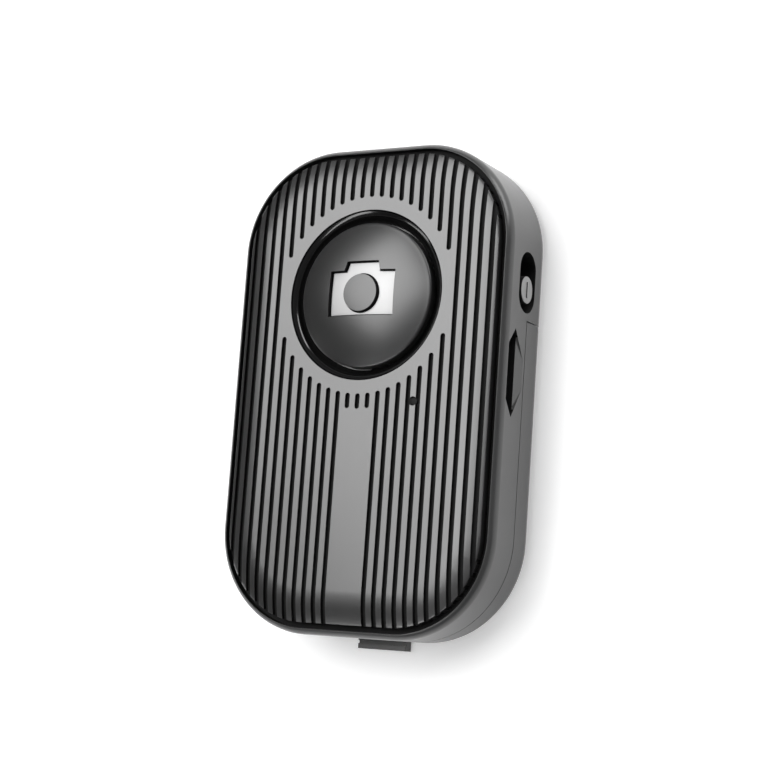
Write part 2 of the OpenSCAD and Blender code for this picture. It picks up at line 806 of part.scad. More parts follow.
module bluetooth_chip() {
    color([0.06, 0.06, 0.07]) translate([chip_x - chip_w / 2, chip_y - chip_w / 2, board_top])
        cube([chip_w, chip_w, chip_h]);
}

module crystal_can() {
    color([0.8, 0.8, 0.82]) translate([chip_x, crystal_y, board_top]) linear_extrude(height = crystal_h) {
        square([crystal_l, crystal_w - 2 * crystal_h], center = true);
        square([crystal_l - 2 * crystal_h, crystal_w], center = true);
        for (sx = [-1, 1], sy = [-1, 1])
            translate([sx * (crystal_l / 2 - crystal_h), sy * (crystal_w / 2 - crystal_h)])
                circle(r = crystal_h, $fn = 24);
    }
}

module board_capacitors() {
    color([0.55, 0.42, 0.3]) for (k = [0 : cap_count - 1])
        translate([cap_x - cap_l / 2, cap_y + k * cap_pitch, board_top]) cube([cap_l, cap_w, cap_h]);
}

// Printed aerial: a meander at the bottom end of the board
module antenna_trace() {
    color([0.85, 0.6, 0.25]) translate([-trace_turns * trace_pitch / 2, trace_y, board_top])
        linear_extrude(height = trace_t) {
            for (k = [0 : trace_turns]) translate([k * trace_pitch, 0]) square([trace_w, trace_l]);
            for (k = [0 : trace_turns - 1])
                translate([k * trace_pitch, k % 2 == 0 ? trace_l - trace_w : 0])
                    square([trace_pitch + trace_w, trace_w]);
        }
}

module status_led() {
    color([0.9, 0.9, 0.85]) translate([light_x - led_l / 2, light_y - led_w / 2, board_top])
        cube([led_l, led_w, led_h]);
}

module slide_switch_base() {
    color([0.1, 0.1, 0.1]) difference() {
        translate([switch_face_x - switch_d, switch_y - switch_l / 2, board_z - switch_h])
            cube([switch_d, switch_l, switch_h]);
        translate([switch_face_x - lever_root - lever_gap, switch_y - switch_window_l / 2,
            slot_z - lever_w / 2 - lever_gap])
            cube([lever_root + lever_gap + overrun, switch_window_l, lever_w + 2 * lever_gap]);
    }
}

module slide_switch_shell() {
    low_z = board_z - switch_h - shell_t;
    color([0.75, 0.75, 0.77]) {
        translate([switch_face_x - switch_d, switch_y - switch_l / 2 - shell_t, low_z])
            cube([switch_d, switch_l + 2 * shell_t, shell_t]);
        for (s = [-1, 1])
            translate([switch_face_x - switch_d, switch_y + (s * (switch_l + shell_t) - shell_t) / 2, low_z])
                cube([switch_d, shell_t, switch_h + shell_t]);
    }
}

module slide_switch_lever() {
    color([0.85, 0.85, 0.82])
        translate([switch_face_x - lever_root, knob_y - lever_l / 2, slot_z - lever_w / 2])
            cube([lever_root + lever_reach, lever_l, lever_w]);
}

module power_slider() {
    flange_x = wall_inner_x - slider_gap - slider_flange_t;
    knob_reach = half_w + knob_proud - flange_x;
    color([0.3, 0.3, 0.31]) difference() {
        union() {
            translate([flange_x, knob_y - slider_flange_l / 2, slot_z - slider_flange_w / 2])
                cube([slider_flange_t, slider_flange_l, slider_flange_w]);
            intersection() {
                translate([flange_x, knob_y, slot_z]) rotate([0, 90, 0]) linear_extrude(height = knob_reach)
                    knob_outline();
                translate([half_w + knob_proud - knob_crown_r, knob_y, slot_z])
                    sphere(r = knob_crown_r, $fn = 96);
            }
            translate([flange_x, knob_y - knob_ridge_l / 2, slot_z - knob_ridge_w / 2])
                cube([knob_reach + knob_ridge_h, knob_ridge_l, knob_ridge_w]);
        }
        translate([flange_x - overrun, knob_y - lever_l / 2 - lever_gap, slot_z - lever_w / 2 - lever_gap])
            cube([lever_reach + overrun, lever_l + 2 * lever_gap, lever_w + 2 * lever_gap]);
    }
}

// Section of the knob, with round corners
module knob_outline() {
    square([knob_w, knob_l - 2 * knob_corner_r], center = true);
    square([knob_w - 2 * knob_corner_r, knob_l], center = true);
    for (sx = [-1, 1], sy = [-1, 1])
        translate([sx * (knob_w / 2 - knob_corner_r), sy * (knob_l / 2 - knob_corner_r)])
            circle(r = knob_corner_r, $fn = 48);
}

module positive_contact() {
    low_z = cell_ring_z + contact_t;
    color([0.85, 0.85, 0.86]) {
        translate([-contact_w / 2, cell_side_y, low_z]) cube([contact_w, contact_t, board_z - low_z]);
        translate([-contact_w / 2, cell_side_y, board_z - contact_t]) cube([contact_w, foot_l, contact_t]);
    }
}

module negative_contact() {
    color([0.85, 0.85, 0.86]) {
        translate([-contact_w / 2, negative_y, cell_top]) cube([contact_w, contact_t, board_z - cell_top]);
        translate([-contact_w / 2, negative_y, cell_top]) cube([contact_w, negative_l, contact_t]);
        translate([-contact_w / 2, negative_y, board_z - contact_t]) cube([contact_w, foot_l, contact_t]);
    }
}

module coin_cell() {
    color([0.78, 0.78, 0.8]) translate([0, -cell_drop, cell_z]) {
        cylinder(r = cell_r, h = cell_t - cell_cap_h, $fn = 128);
        cylinder(r = cell_cap_r, h = cell_t, $fn = 128);
    }
}

module case_screws() {
    color([0.7, 0.7, 0.72]) screw_places() difference() {
        union() {
            translate([0, 0, seam_z - screw_head_h]) cylinder(r = screw_head_r, h = screw_head_h, $fn = 48);
            translate([0, 0, seam_z - screw_head_h])
                cylinder(r = screw_r, h = cover_under - screw_tip_gap - seam_z + screw_head_h, $fn = 48);
        }
        for (a = [0, 90]) rotate([0, 0, a])
            translate([-screw_r, -screw_slot_w / 2, seam_z - screw_head_h - overrun])
                cube([2 * screw_r, screw_slot_w, overrun + screw_slot_h]);
    }
}

module hinge_pin() {
    color([0.7, 0.7, 0.72]) pin_bar(pin_r, -pin_l / 2, pin_l / 2);
}

module rear_cover() {
    notch_half = (knuckle_w + knuckle_gap) / 2;
    color([0.15, 0.15, 0.16]) difference() {
        union() {
            difference() {
                intersection() {
                    body_blank();
                    rear_space(0, seam_z - seam_gap);
                }
                intersection() {
                    translate([0, 0, door_floor_t]) linear_extrude(height = body_t) outline(door_wall_t);
                    translate([-body_w, -body_l, 0])
                        cube([2 * body_w, body_l + hinge_y - step_wall_t, body_t]);
                }
                translate([-body_w, hinge_y, hinge_z]) rotate([-cover_open_deg - 90, 0, 0])
                    translate([0, -body_t, 0]) cube([2 * body_w, 2 * body_t, body_t]);
                pin_bar(knuckle_r + notch_clear, -notch_half, notch_half);
            }
            for (mx = [0, 1]) mirror([mx, 0, 0])
                pin_bar(knuckle_r, door_knuckle_x, door_knuckle_x + door_knuckle_w);
            latch_tab();
        }
        for (mx = [0, 1]) mirror([mx, 0, 0])
            pin_bar(pin_r + pin_clear, 0, pin_l / 2 + pin_end_gap);
        for (sx = [-1, 1])
            translate([sx * (tab_w + slit_w) / 2 - slit_w / 2, -half_l - overrun, tab_t])
                cube([slit_w, door_wall_t + overrun, seam_z]);
    }
}

// Grooved finger tab and catch bump of the latch at the bottom end
module latch_tab() {
    difference() {
        translate([-tab_w / 2, -half_l - tab_out, 0]) cube([tab_w, tab_out + back_edge_r + door_wall_t, tab_t]);
        translate([-tab_w, -half_l - tab_groove_out - tab_groove_w, tab_t - tab_groove_h])
            cube([2 * tab_w, tab_groove_w, tab_t]);
    }
    translate([-catch_w / 2, door_wall_t / 2 - half_l, seam_z - seam_gap - catch_h - lip_gap])
        cube([catch_w, door_wall_t / 2 + catch_out, catch_h]);
}

module cell_pad() {
    color([0.2, 0.2, 0.2]) translate([0, -cell_drop, door_floor_t])
        cylinder(r = cell_cap_r, h = pad_t, $fn = 64);
}

front_cover();
main_housing();
button_bezel();
light_guide();
circuit_board();
tact_switch_base();
tact_switch_plate();
tact_snap_dome();
bluetooth_chip();
crystal_can();
board_capacitors();
antenna_trace();
status_led();
slide_switch_base();
slide_switch_shell();
positive_contact();
negative_contact();
coin_cell();
case_screws();
hinge_pin();
shutter_button();
camera_icon_inlay();
tact_plunger();
power_slider();
slide_switch_lever();
rear_cover();
cell_pad();
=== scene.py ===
import math

import bmesh
import bpy
from mathutils import Matrix, Vector


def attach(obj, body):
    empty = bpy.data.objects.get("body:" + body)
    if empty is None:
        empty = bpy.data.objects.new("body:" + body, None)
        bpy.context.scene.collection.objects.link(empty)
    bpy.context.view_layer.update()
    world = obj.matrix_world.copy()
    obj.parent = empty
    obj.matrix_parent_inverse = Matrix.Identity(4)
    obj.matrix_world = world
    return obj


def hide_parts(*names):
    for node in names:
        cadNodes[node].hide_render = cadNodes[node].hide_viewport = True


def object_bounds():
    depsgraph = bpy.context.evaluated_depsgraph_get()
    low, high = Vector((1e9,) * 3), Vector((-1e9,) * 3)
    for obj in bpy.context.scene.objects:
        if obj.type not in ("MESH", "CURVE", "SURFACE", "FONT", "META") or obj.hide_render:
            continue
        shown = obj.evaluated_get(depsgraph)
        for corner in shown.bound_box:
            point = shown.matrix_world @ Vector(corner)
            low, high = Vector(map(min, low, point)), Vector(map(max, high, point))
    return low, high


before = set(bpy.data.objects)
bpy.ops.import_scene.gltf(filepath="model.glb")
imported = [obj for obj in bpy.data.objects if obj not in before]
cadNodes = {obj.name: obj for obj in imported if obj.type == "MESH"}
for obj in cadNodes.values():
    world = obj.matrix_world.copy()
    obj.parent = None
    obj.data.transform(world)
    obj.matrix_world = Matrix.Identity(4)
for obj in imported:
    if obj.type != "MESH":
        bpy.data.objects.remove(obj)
cadLow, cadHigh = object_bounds()
print("frame loaded with", len(cadNodes), "nodes")

# Pieces are shaped in millimetres, in the frame's place, and shrunk to metres at the end
perMetre = 1000.0
mergeGap = 0.0005
shading = {"smoothDegrees": 32, "weight": 80}

caseShape = {
    "halfWidth": 19.0, "halfLength": 30.4, "cornerRadius": 12.8,
    "frontHeight": 11.8, "crownStart": 7.3, "crownRadius": 13.3,
    "coverInset": 1.45, "coverGap": 0.7, "ledgeHeight": 9.918,
    "buttonY": 11.4, "domeTop": 13.2, "domeRadius": 25.206, "lightSpot": (7.7, -1.87),
    "screwSpots": [(13.2, 0.8), (-13.2, 0.8), (11.6, -23.0), (-11.6, -23.0)],
}
buttonCentre = (0, caseShape["buttonY"])


# Small helpers for object and edit mode

def deselectAll():
    if bpy.context.mode != "OBJECT":
        bpy.ops.object.mode_set(mode="OBJECT")
    bpy.ops.object.select_all(action="DESELECT")


def makeActive(*pieces):
    deselectAll()
    for piece in pieces:
        piece.select_set(True)
    bpy.context.view_layer.objects.active = pieces[0]


def nameNew(name):
    piece = bpy.context.active_object
    piece.name = name
    return piece


def applyPlace():
    bpy.ops.object.transform_apply(location=True, rotation=True, scale=True)


def startEdit(piece, kind="FACE"):
    makeActive(piece)
    bpy.ops.object.mode_set(mode="EDIT")
    bpy.ops.mesh.select_mode(type=kind)


def endEdit():
    bpy.ops.object.mode_set(mode="OBJECT")


def selectWhole():
    bpy.ops.mesh.select_all(action="SELECT")


def pick(piece, kind, test):
    bpy.ops.mesh.select_mode(type=kind)
    bpy.ops.mesh.select_all(action="DESELECT")
    mesh = bmesh.from_edit_mesh(piece.data)
    for part in {"EDGE": mesh.edges, "FACE": mesh.faces}[kind]:
        if test(part):
            part.select_set(True)
    mesh.select_flush_mode()
    bmesh.update_edit_mesh(piece.data)


def edgeMiddle(edge):
    return (edge.verts[0].co + edge.verts[1].co) / 2


def sharpOutward(edge, degrees):
    if len(edge.link_faces) != 2 or not edge.is_convex:
        return False
    return edge.calc_face_angle(0) > math.radians(degrees)


def extrudeBy(x, y, z):
    bpy.ops.mesh.extrude_region_move(TRANSFORM_OT_translate={"value": (x, y, z)})


def mergeAndFace():
    selectWhole()
    bpy.ops.mesh.remove_doubles(threshold=mergeGap)
    bpy.ops.mesh.normals_make_consistent(inside=False)


def roundedPlate(name, halfX, halfY, radius, z, steps):
    deselectAll()
    bpy.ops.mesh.primitive_plane_add(size=2, location=(0, 0, z))
    plate = nameNew(name)
    plate.scale = (halfX, halfY, 1)
    applyPlace()
    startEdit(plate, "VERT")
    selectWhole()
    bpy.ops.mesh.bevel(offset=radius, segments=steps, affect="VERTICES")
    endEdit()
    return plate


def latheProfile(name, points, centre, steps, closed=False):
    # One vertex is pulled along the half section, and the line is spun about the upright axis
    path = points + points[:1] if closed else points
    deselectAll()
    bpy.ops.mesh.primitive_plane_add(size=0.1, location=(0, 0, 0))
    turned = nameNew(name)
    startEdit(turned, "VERT")
    selectWhole()
    bpy.ops.mesh.merge(type="CENTER")
    bpy.ops.transform.translate(value=(path[0][0], 0, path[0][1]))
    for (r0, z0), (r1, z1) in zip(path, path[1:]):
        extrudeBy(r1 - r0, 0, z1 - z0)
    selectWhole()
    bpy.ops.mesh.remove_doubles(threshold=mergeGap)
    selectWhole()
    bpy.ops.mesh.spin(steps=steps, angle=2 * math.pi, center=(0, 0, 0), axis=(0, 0, 1))
    mergeAndFace()
    selectWhole()
    bpy.ops.transform.translate(value=(centre[0], centre[1], 0))
    endEdit()
    return turned


def addBlock(name, low, high):
    deselectAll()
    middle = [(a + b) / 2 for a, b in zip(low, high)]
    bpy.ops.mesh.primitive_cube_add(size=1, location=middle)
    block = nameNew(name)
    block.scale = [b - a for a, b in zip(low, high)]
    applyPlace()
    return block


def centredBlock(name, centre, halves, low, high):
    x, y = centre
    halfX, halfY = halves
    return addBlock(name, (x - halfX, y - halfY, low), (x + halfX, y + halfY, high))


def addRod(name, radius, heights, centre, steps=48):
    low, high = heights
    place = (centre[0], centre[1], (low + high) / 2)
    deselectAll()
    bpy.ops.mesh.primitive_cylinder_add(
        vertices=steps, radius=radius, depth=high - low, location=place)
    rod = nameNew(name)
    applyPlace()
    return rod


def carve(piece, cutter, operation="DIFFERENCE"):
    makeActive(piece)
    cut = piece.modifiers.new("carve", "BOOLEAN")
    cut.operation = operation
    cut.solver = "EXACT"
    cut.object = cutter
    bpy.ops.object.modifier_apply(modifier=cut.name)
    bpy.data.objects.remove(cutter)


def joinPieces(name, pieces):
    makeActive(*pieces)
    bpy.ops.object.join()
    return nameNew(name)


def nodeCopy(node, name, flatDegrees=0.4):
    makeActive(cadNodes[node])
    bpy.ops.object.duplicate()
    copy = nameNew(name)
    copy.data.materials.clear()
    copy.scale = (perMetre, perMetre, perMetre)
    applyPlace()
    startEdit(copy)
    mergeAndFace()
    selectWhole()
    bpy.ops.mesh.dissolve_limited(angle_limit=math.radians(flatDegrees))
    endEdit()
    return copy


def softenEdges(piece, width, test=None, segments=2, degrees=40):
    def wanted(edge):
        return sharpOutward(edge, degrees) and (test is None or test(edgeMiddle(edge)))

    startEdit(piece, "EDGE")
    pick(piece, "EDGE", wanted)
    bpy.ops.mesh.bevel(
        offset=width, segments=segments, profile=0.5, affect="EDGES", clamp_overlap=True)
    selectWhole()
    bpy.ops.mesh.remove_doubles(threshold=mergeGap)
    bpy.ops.mesh.dissolve_degenerate(threshold=mergeGap)
    endEdit()


def paint(piece, *names):
    for name in names:
        piece.data.materials.append(finishes[name])


def finishPiece(piece, body, nodes, smoothDegrees=shading["smoothDegrees"]):
    makeActive(piece)
    piece.scale = [1 / perMetre] * 3
    applyPlace()
    bpy.ops.object.shade_smooth_by_angle(angle=math.radians(smoothDegrees))
    weighted = piece.modifiers.new("even shading", "WEIGHTED_NORMAL")
    weighted.keep_sharp = True
    weighted.weight = shading["weight"]
    bpy.ops.object.modifier_apply(modifier=weighted.name)
    piece.data.name = piece.name
    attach(piece, body)
    if nodes:
        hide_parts(*nodes)
    print("finished", piece.name, len(piece.data.polygons), "faces")


# Shader groups shared by the finishes

def feed(tree, socket, value):
    # A socket is linked, a plain number or colour is set
    if isinstance(value, bpy.types.NodeSocket):
        tree.links.new(value, socket)
    else:
        socket.default_value = value


def newGroup(name, inputs, outputs):
    group = bpy.data.node_groups.new(name, "ShaderNodeTree")
    for socketName, kind, value in inputs:
        socket = group.interface.new_socket(name=socketName, in_out="INPUT", socket_type=kind)
        socket.default_value = value
    for socketName, kind in outputs:
        group.interface.new_socket(name=socketName, in_out="OUTPUT", socket_type=kind)
    start, end = group.nodes.new("NodeGroupInput"), group.nodes.new("NodeGroupOutput")
    return group, start.outputs, end.inputs


def addMath(tree, operation, first, second, clamp=False):
    node = tree.nodes.new("ShaderNodeMath")
    node.operation = operation
    node.use_clamp = clamp
    for socket, value in zip(node.inputs, (first, second)):
        feed(tree, socket, value)
    return node.outputs[0]


def addRange(tree, value, fromRange, toRange):
    node = tree.nodes.new("ShaderNodeMapRange")
    feed(tree, node.inputs["Value"], value)
    socketNames = ("From Min", "From Max", "To Min", "To Max")
    for socketName, setting in zip(socketNames, (*fromRange, *toRange)):
        feed(tree, node.inputs[socketName], setting)
    return node.outputs["Result"]


def addNoise(tree, vector, scale, detail):
    node = tree.nodes.new("ShaderNodeTexNoise")
    node.inputs["Detail"].default_value = detail
    feed(tree, node.inputs["Vector"], vector)
    feed(tree, node.inputs["Scale"], scale)
    return node.outputs["Fac"]


def addSpread(tree, noise, spread):
    # Noise about its middle value, as wide as the spread
    return addMath(tree, "MULTIPLY", addMath(tree, "SUBTRACT", noise, 0.5), spread)


def mixColors(tree, share, first, second):
    node = tree.nodes.new("ShaderNodeMix")
    node.data_type = "RGBA"
    for index, value in ((0, share), (6, first), (7, second)):
        feed(tree, node.inputs[index], value)
    return node.outputs[2]


grainLook = {"detail": 3.0, "pitShare": 0.6, "wideShare": 0.04, "wideDetail": 2.0}
toneLook = {"detail": 5.0, "cloud": (0.35, 0.75), "amount": 0.3}
brushLook = {"detail": 2.0, "depth": 0.000001, "spread": 0.15, "toneSize": 500.0, "toneAmount": 0.5}


def makeGrainGroup():
    # Fine grain with pits for height, and roughness that drifts slowly and speckles with the grain
    group, given, result = newGroup("mouldGrain", [
        ("Vector", "NodeSocketVector", (0, 0, 0)), ("Size", "NodeSocketFloat", 9000.0),
        ("Roughness", "NodeSocketFloat", 0.4), ("Spread", "NodeSocketFloat", 0.06)],
        [("Height", "NodeSocketFloat"), ("Roughness", "NodeSocketFloat")])
    fine = addNoise(group, given["Vector"], given["Size"], grainLook["detail"])
    pits = group.nodes.new("ShaderNodeTexVoronoi")
    feed(group, pits.inputs["Vector"], given["Vector"])
    feed(group, pits.inputs["Scale"], given["Size"])
    pitDepth = addMath(group, "MULTIPLY", pits.outputs["Distance"], grainLook["pitShare"])
    feed(group, result["Height"], addMath(group, "ADD", fine, pitDepth))
    wideSize = addMath(group, "MULTIPLY", given["Size"], grainLook["wideShare"])
    wide = addNoise(group, given["Vector"], wideSize, grainLook["wideDetail"])
    drift = addSpread(group, wide, given["Spread"])
    speckle = addSpread(group, fine, given["Spread"])
    change = addMath(group, "ADD", drift, speckle)
    total = addMath(group, "ADD", change, given["Roughness"], clamp=True)
    feed(group, result["Roughness"], total)
    return group


def makeToneGroup():
    # Clouds of a second, slightly different tone
    group, given, result = newGroup("toneDrift", [
        ("Vector", "NodeSocketVector", (0, 0, 0)), ("Color", "NodeSocketColor", (0.5, 0.5, 0.5, 1)),
        ("Worn", "NodeSocketColor", (0.6, 0.6, 0.6, 1)), ("Size", "NodeSocketFloat", 160.0),
        ("Amount", "NodeSocketFloat", 0.25)],
        [("Color", "NodeSocketColor"), ("Mask", "NodeSocketFloat")])
    noise = addNoise(group, given["Vector"], given["Size"], toneLook["detail"])
    cloud = addRange(group, noise, toneLook["cloud"], (0.0, 1.0))
    mask = addMath(group, "MULTIPLY", cloud, given["Amount"], clamp=True)
    feed(group, result["Color"], mixColors(group, mask, given["Color"], given["Worn"]))
    feed(group, result["Mask"], mask)
    return group


def makeBrushGroup():
    # Noise drawn out into lines along one direction
    group, given, result = newGroup("brushedLines", [
        ("Vector", "NodeSocketVector", (0, 0, 0)), ("Along", "NodeSocketFloat", 400.0),
        ("Across", "NodeSocketFloat", 24000.0), ("Roughness", "NodeSocketFloat", 0.3),
        ("Spread", "NodeSocketFloat", 0.15)],
        [("Height", "NodeSocketFloat"), ("Roughness", "NodeSocketFloat")])
    stretch = group.nodes.new("ShaderNodeCombineXYZ")
    for index, socketName in enumerate(("Across", "Along", "Across")):
        feed(group, stretch.inputs[index], given[socketName])
    scaled = group.nodes.new("ShaderNodeVectorMath")
    scaled.operation = "MULTIPLY"
    feed(group, scaled.inputs[0], given["Vector"])
    feed(group, scaled.inputs[1], stretch.outputs[0])
    lines = addNoise(group, scaled.outputs[0], 1.0, brushLook["detail"])
    feed(group, result["Height"], lines)
    change = addSpread(group, lines, given["Spread"])
    total = addMath(group, "ADD", change, given["Roughness"], clamp=True)
    feed(group, result["Roughness"], total)
    return group


mouldGrain = makeGrainGroup()
toneDrift = makeToneGroup()
brushedLines = makeBrushGroup()


def placeGroup(tree, group, vector, settings):
    node = tree.nodes.new("ShaderNodeGroup")
    node.node_tree = group
    feed(tree, node.inputs["Vector"], vector)
    for socketName, value in settings.items():
        node.inputs[socketName].default_value = value
    return node.outputs


def newFinish(name):
    material = bpy.data.materials.new(name)
    material.use_nodes = True
    tree = material.node_tree
    shader = tree.nodes["Principled BSDF"]
    place = tree.nodes.new("ShaderNodeTexCoord").outputs["Object"]
    return material, tree, shader, place


def addBump(tree, shader, height, distance):
    bump = tree.nodes.new("ShaderNodeBump")
    bump.inputs["Strength"].default_value = 1.0
    bump.inputs["Distance"].default_value = distance
    feed(tree, bump.inputs["Height"], height)
    feed(tree, shader.inputs["Normal"], bump.outputs["Normal"])


def grey(value):
    return (value, value, value, 1)


def mouldedPlastic(name, color, worn, roughness, grainSize=9000.0, grainDepth=0.000004,
                   ior=1.5, coat=0.0, coatRoughness=0.1, spread=0.06, metallic=0.0):
    material, tree, shader, place = newFinish(name)
    tone = placeGroup(tree, toneDrift, place, {
        "Color": color, "Worn": worn, "Amount": toneLook["amount"]})
    grain = placeGroup(tree, mouldGrain, place, {
        "Size": grainSize, "Roughness": roughness, "Spread": spread})
    feed(tree, shader.inputs["Base Color"], tone["Color"])
    feed(tree, shader.inputs["Roughness"], grain["Roughness"])
    addBump(tree, shader, grain["Height"], grainDepth)
    shader.inputs["IOR"].default_value = ior
    shader.inputs["Coat Weight"].default_value = coat
    shader.inputs["Coat Roughness"].default_value = coatRoughness
    shader.inputs["Metallic"].default_value = metallic
    return material


def sheetMetal(name, color, worn, roughness, along=400.0, across=24000.0):
    material, tree, shader, place = newFinish(name)
    tone = placeGroup(tree, toneDrift, place, {
        "Color": color, "Worn": worn,
        "Size": brushLook["toneSize"], "Amount": brushLook["toneAmount"]})
    lines = placeGroup(tree, brushedLines, place, {
        "Along": along, "Across": across, "Roughness": roughness, "Spread": brushLook["spread"]})
    feed(tree, shader.inputs["Base Color"], tone["Color"])
    feed(tree, shader.inputs["Roughness"], lines["Roughness"])
    addBump(tree, shader, lines["Height"], brushLook["depth"])
    shader.inputs["Metallic"].default_value = 1.0
    return material


plastics = {
    "coverBlack": {"color": grey(0.018), "worn": grey(0.022), "roughness": 0.29,
                   "grainSize": 14000.0, "grainDepth": 0.0000008, "ior": 1.65,
                   "coat": 0.6, "coatRoughness": 0.24, "spread": 0.03},
    # Near-black rough finish painted into grooves, gaps, pockets and the knob's sides as painted
    # shade
    "paintedShadeBlack": {"color": grey(0.006), "worn": grey(0.009), "roughness": 0.75, "ior": 1.3},
    "caseGrey": {"color": grey(0.036), "worn": grey(0.042), "roughness": 0.30,
                 "grainDepth": 0.0000015, "coat": 0.2, "coatRoughness": 0.18, "spread": 0.04},
    "bezelGloss": {"color": grey(0.004), "worn": grey(0.006), "roughness": 0.16,
                   "grainSize": 3000.0, "grainDepth": 0.0000003,
                   "coat": 0.3, "coatRoughness": 0.06, "spread": 0.02},
    "domeGrey": {"color": grey(0.012), "worn": grey(0.015), "roughness": 0.34,
                 "grainSize": 16000.0, "grainDepth": 0.0000008, "ior": 1.65,
                 "coat": 0.4, "coatRoughness": 0.26, "spread": 0.03},
    "signSilver": {"color": grey(0.46), "worn": grey(0.41), "roughness": 0.42,
                   "grainSize": 12000.0, "grainDepth": 0.000001, "metallic": 0.3},
    "knobGrey": {"color": grey(0.26), "worn": grey(0.32), "roughness": 0.40,
                 "grainDepth": 0.000002},
    "lensSmoke": {"color": grey(0.006), "worn": grey(0.009), "roughness": 0.55,
                  "grainSize": 4000.0, "grainDepth": 0.000001, "ior": 1.25},
    "boardGreen": {"color": (0.012, 0.12, 0.05, 1), "worn": (0.02, 0.17, 0.08, 1),
                   "roughness": 0.32, "grainSize": 5000.0, "grainDepth": 0.000002},
    # Black for the sheet behind the switch slot, painted shade
    "slotShadeBlack": {"color": grey(0.01), "worn": grey(0.014), "roughness": 0.6,
                    "grainSize": 6000.0, "grainDepth": 0.000002, "ior": 1.4},
    "switchBlack": {"color": grey(0.03), "worn": grey(0.045), "roughness": 0.5},
    "chipBlack": {"color": grey(0.022), "worn": grey(0.03), "roughness": 0.6,
                  "grainSize": 14000.0},
    "ceramicTan": {"color": (0.36, 0.22, 0.12, 1), "worn": (0.45, 0.3, 0.18, 1),
                   "roughness": 0.5},
    "ledWhite": {"color": (0.8, 0.8, 0.72, 1), "worn": (0.7, 0.7, 0.6, 1), "roughness": 0.2},
    "plungerRed": {"color": (0.36, 0.03, 0.03, 1), "worn": (0.42, 0.05, 0.05, 1),
                   "roughness": 0.45},
    "leverCream": {"color": (0.68, 0.65, 0.56, 1), "worn": (0.6, 0.56, 0.48, 1),
                   "roughness": 0.45},
    "foamDark": {"color": grey(0.05), "worn": grey(0.07), "roughness": 0.9,
                 "grainSize": 4000.0, "grainDepth": 0.00002, "ior": 1.3},
}
metals = {
    "tinnedSteel": {"color": grey(0.66), "worn": grey(0.56), "roughness": 0.32},
    "springSteel": {"color": (0.70, 0.68, 0.62, 1), "worn": (0.6, 0.57, 0.5, 1),
                    "roughness": 0.24},
    "cellSteel": {"color": grey(0.70), "worn": grey(0.6), "roughness": 0.24,
                  "along": 600.0, "across": 9000.0},
    "zincSteel": {"color": grey(0.6), "worn": grey(0.5), "roughness": 0.3},
    "pinSteel": {"color": grey(0.62), "worn": grey(0.52), "roughness": 0.2,
                 "along": 9000.0, "across": 9000.0},
    "goldPlate": {"color": (0.80, 0.56, 0.22, 1), "worn": (0.7, 0.46, 0.16, 1),
                  "roughness": 0.25},
}
finishes = {name: mouldedPlastic(name, **settings) for name, settings in plastics.items()}
finishes.update({name: sheetMetal(name, **settings) for name, settings in metals.items()})
print("finishes made:", len(finishes))

# Crowned front cover: a stepped plate rounded towards its edge, with grooves that follow the crown
ribbedCover = {
    "ringX": [17.55, 17.3, 16.8, 16.1, 15.4, 14.7, 14.0, 13.5], "cornerSteps": 32,
    "footWidth": 1.2, "thickness": 1.25, "hollowDrop": 0.5,
    "groovePitch": 1.4, "grooveWidth": 0.64, "grooveDepth": 0.45, "sideCount": 12,
    "barHeights": (9.0, 13.0), "barOver": 1, "floorLow": 8.0, "endShare": 0.98, "endSteps": 6,
    "landRadius": 12.3, "stubLength": 1.9, "bareCount": 1,
    "ringHole": 10.68, "ringSteps": 160, "lightHole": 0.56, "lightSteps": 40,
    "holeHeights": (8.0, 14.0), "edgeSoftness": 0.2, "edgeAbove": 11.0, "edgeNear": 0.02,
    "bossRadius": 1.7, "bossHeights": (7.6, 11.0), "bossHole": 0.83, "bossDrill": (7.0, 10.55),
    "darkAbove": 10.55, "darkDrop": 0.13, "darkSlope": 0.55, "darkSide": 0.005,
}


def outlineReach(place):
    # How far a place is from the centre line of the outline's corners and sides
    x = max(0.0, abs(place.x) - caseShape["halfWidth"] + caseShape["cornerRadius"])
    y = max(0.0, abs(place.y) - caseShape["halfLength"] + caseShape["cornerRadius"])
    return math.hypot(x, y)


def crownHeight(x):
    shape = caseShape
    run = max(0.0, x - shape["halfWidth"] + shape["cornerRadius"] - shape["crownStart"])
    fall = math.sqrt(shape["crownRadius"] ** 2 - run ** 2)
    return shape["frontHeight"] - shape["crownRadius"] + fall


def crownedPlate(name, ringX, drop, low):
    # The outline at the edge, pulled up, then drawn in ring by ring along the crown's arc
    inset = caseShape["halfWidth"] - ringX[0]
    plate = roundedPlate(name, ringX[0], caseShape["halfLength"] - inset,
                         caseShape["cornerRadius"] - inset, low, ribbedCover["cornerSteps"])
    startEdit(plate)
    selectWhole()
    extrudeBy(0, 0, crownHeight(ringX[0]) - drop - low)
    for outer, inner in zip(ringX, ringX[1:]):
        rise = crownHeight(inner) - crownHeight(outer)
        bpy.ops.mesh.inset(thickness=outer - inner, depth=rise)
    endEdit()
    return plate


def grooveBar(x, low, high, roundLow, roundHigh):
    shape = ribbedCover
    half = shape["grooveWidth"] / 2
    middle = (low + high) / 2
    barLow, barHigh = shape["barHeights"]
    bar = addBlock("grooveBar", (x - half, low, barLow), (x + half, high, barHigh))

    def roundedCorner(edge):
        upright = abs(edge.verts[0].co.z - edge.verts[1].co.z) > 1
        return upright and (roundHigh if edgeMiddle(edge).y > middle else roundLow)

    if roundLow or roundHigh:
        startEdit(bar, "EDGE")
        pick(bar, "EDGE", roundedCorner)
        bpy.ops.mesh.bevel(
            offset=half * shape["endShare"], segments=shape["endSteps"], affect="EDGES")
        endEdit()
    return bar


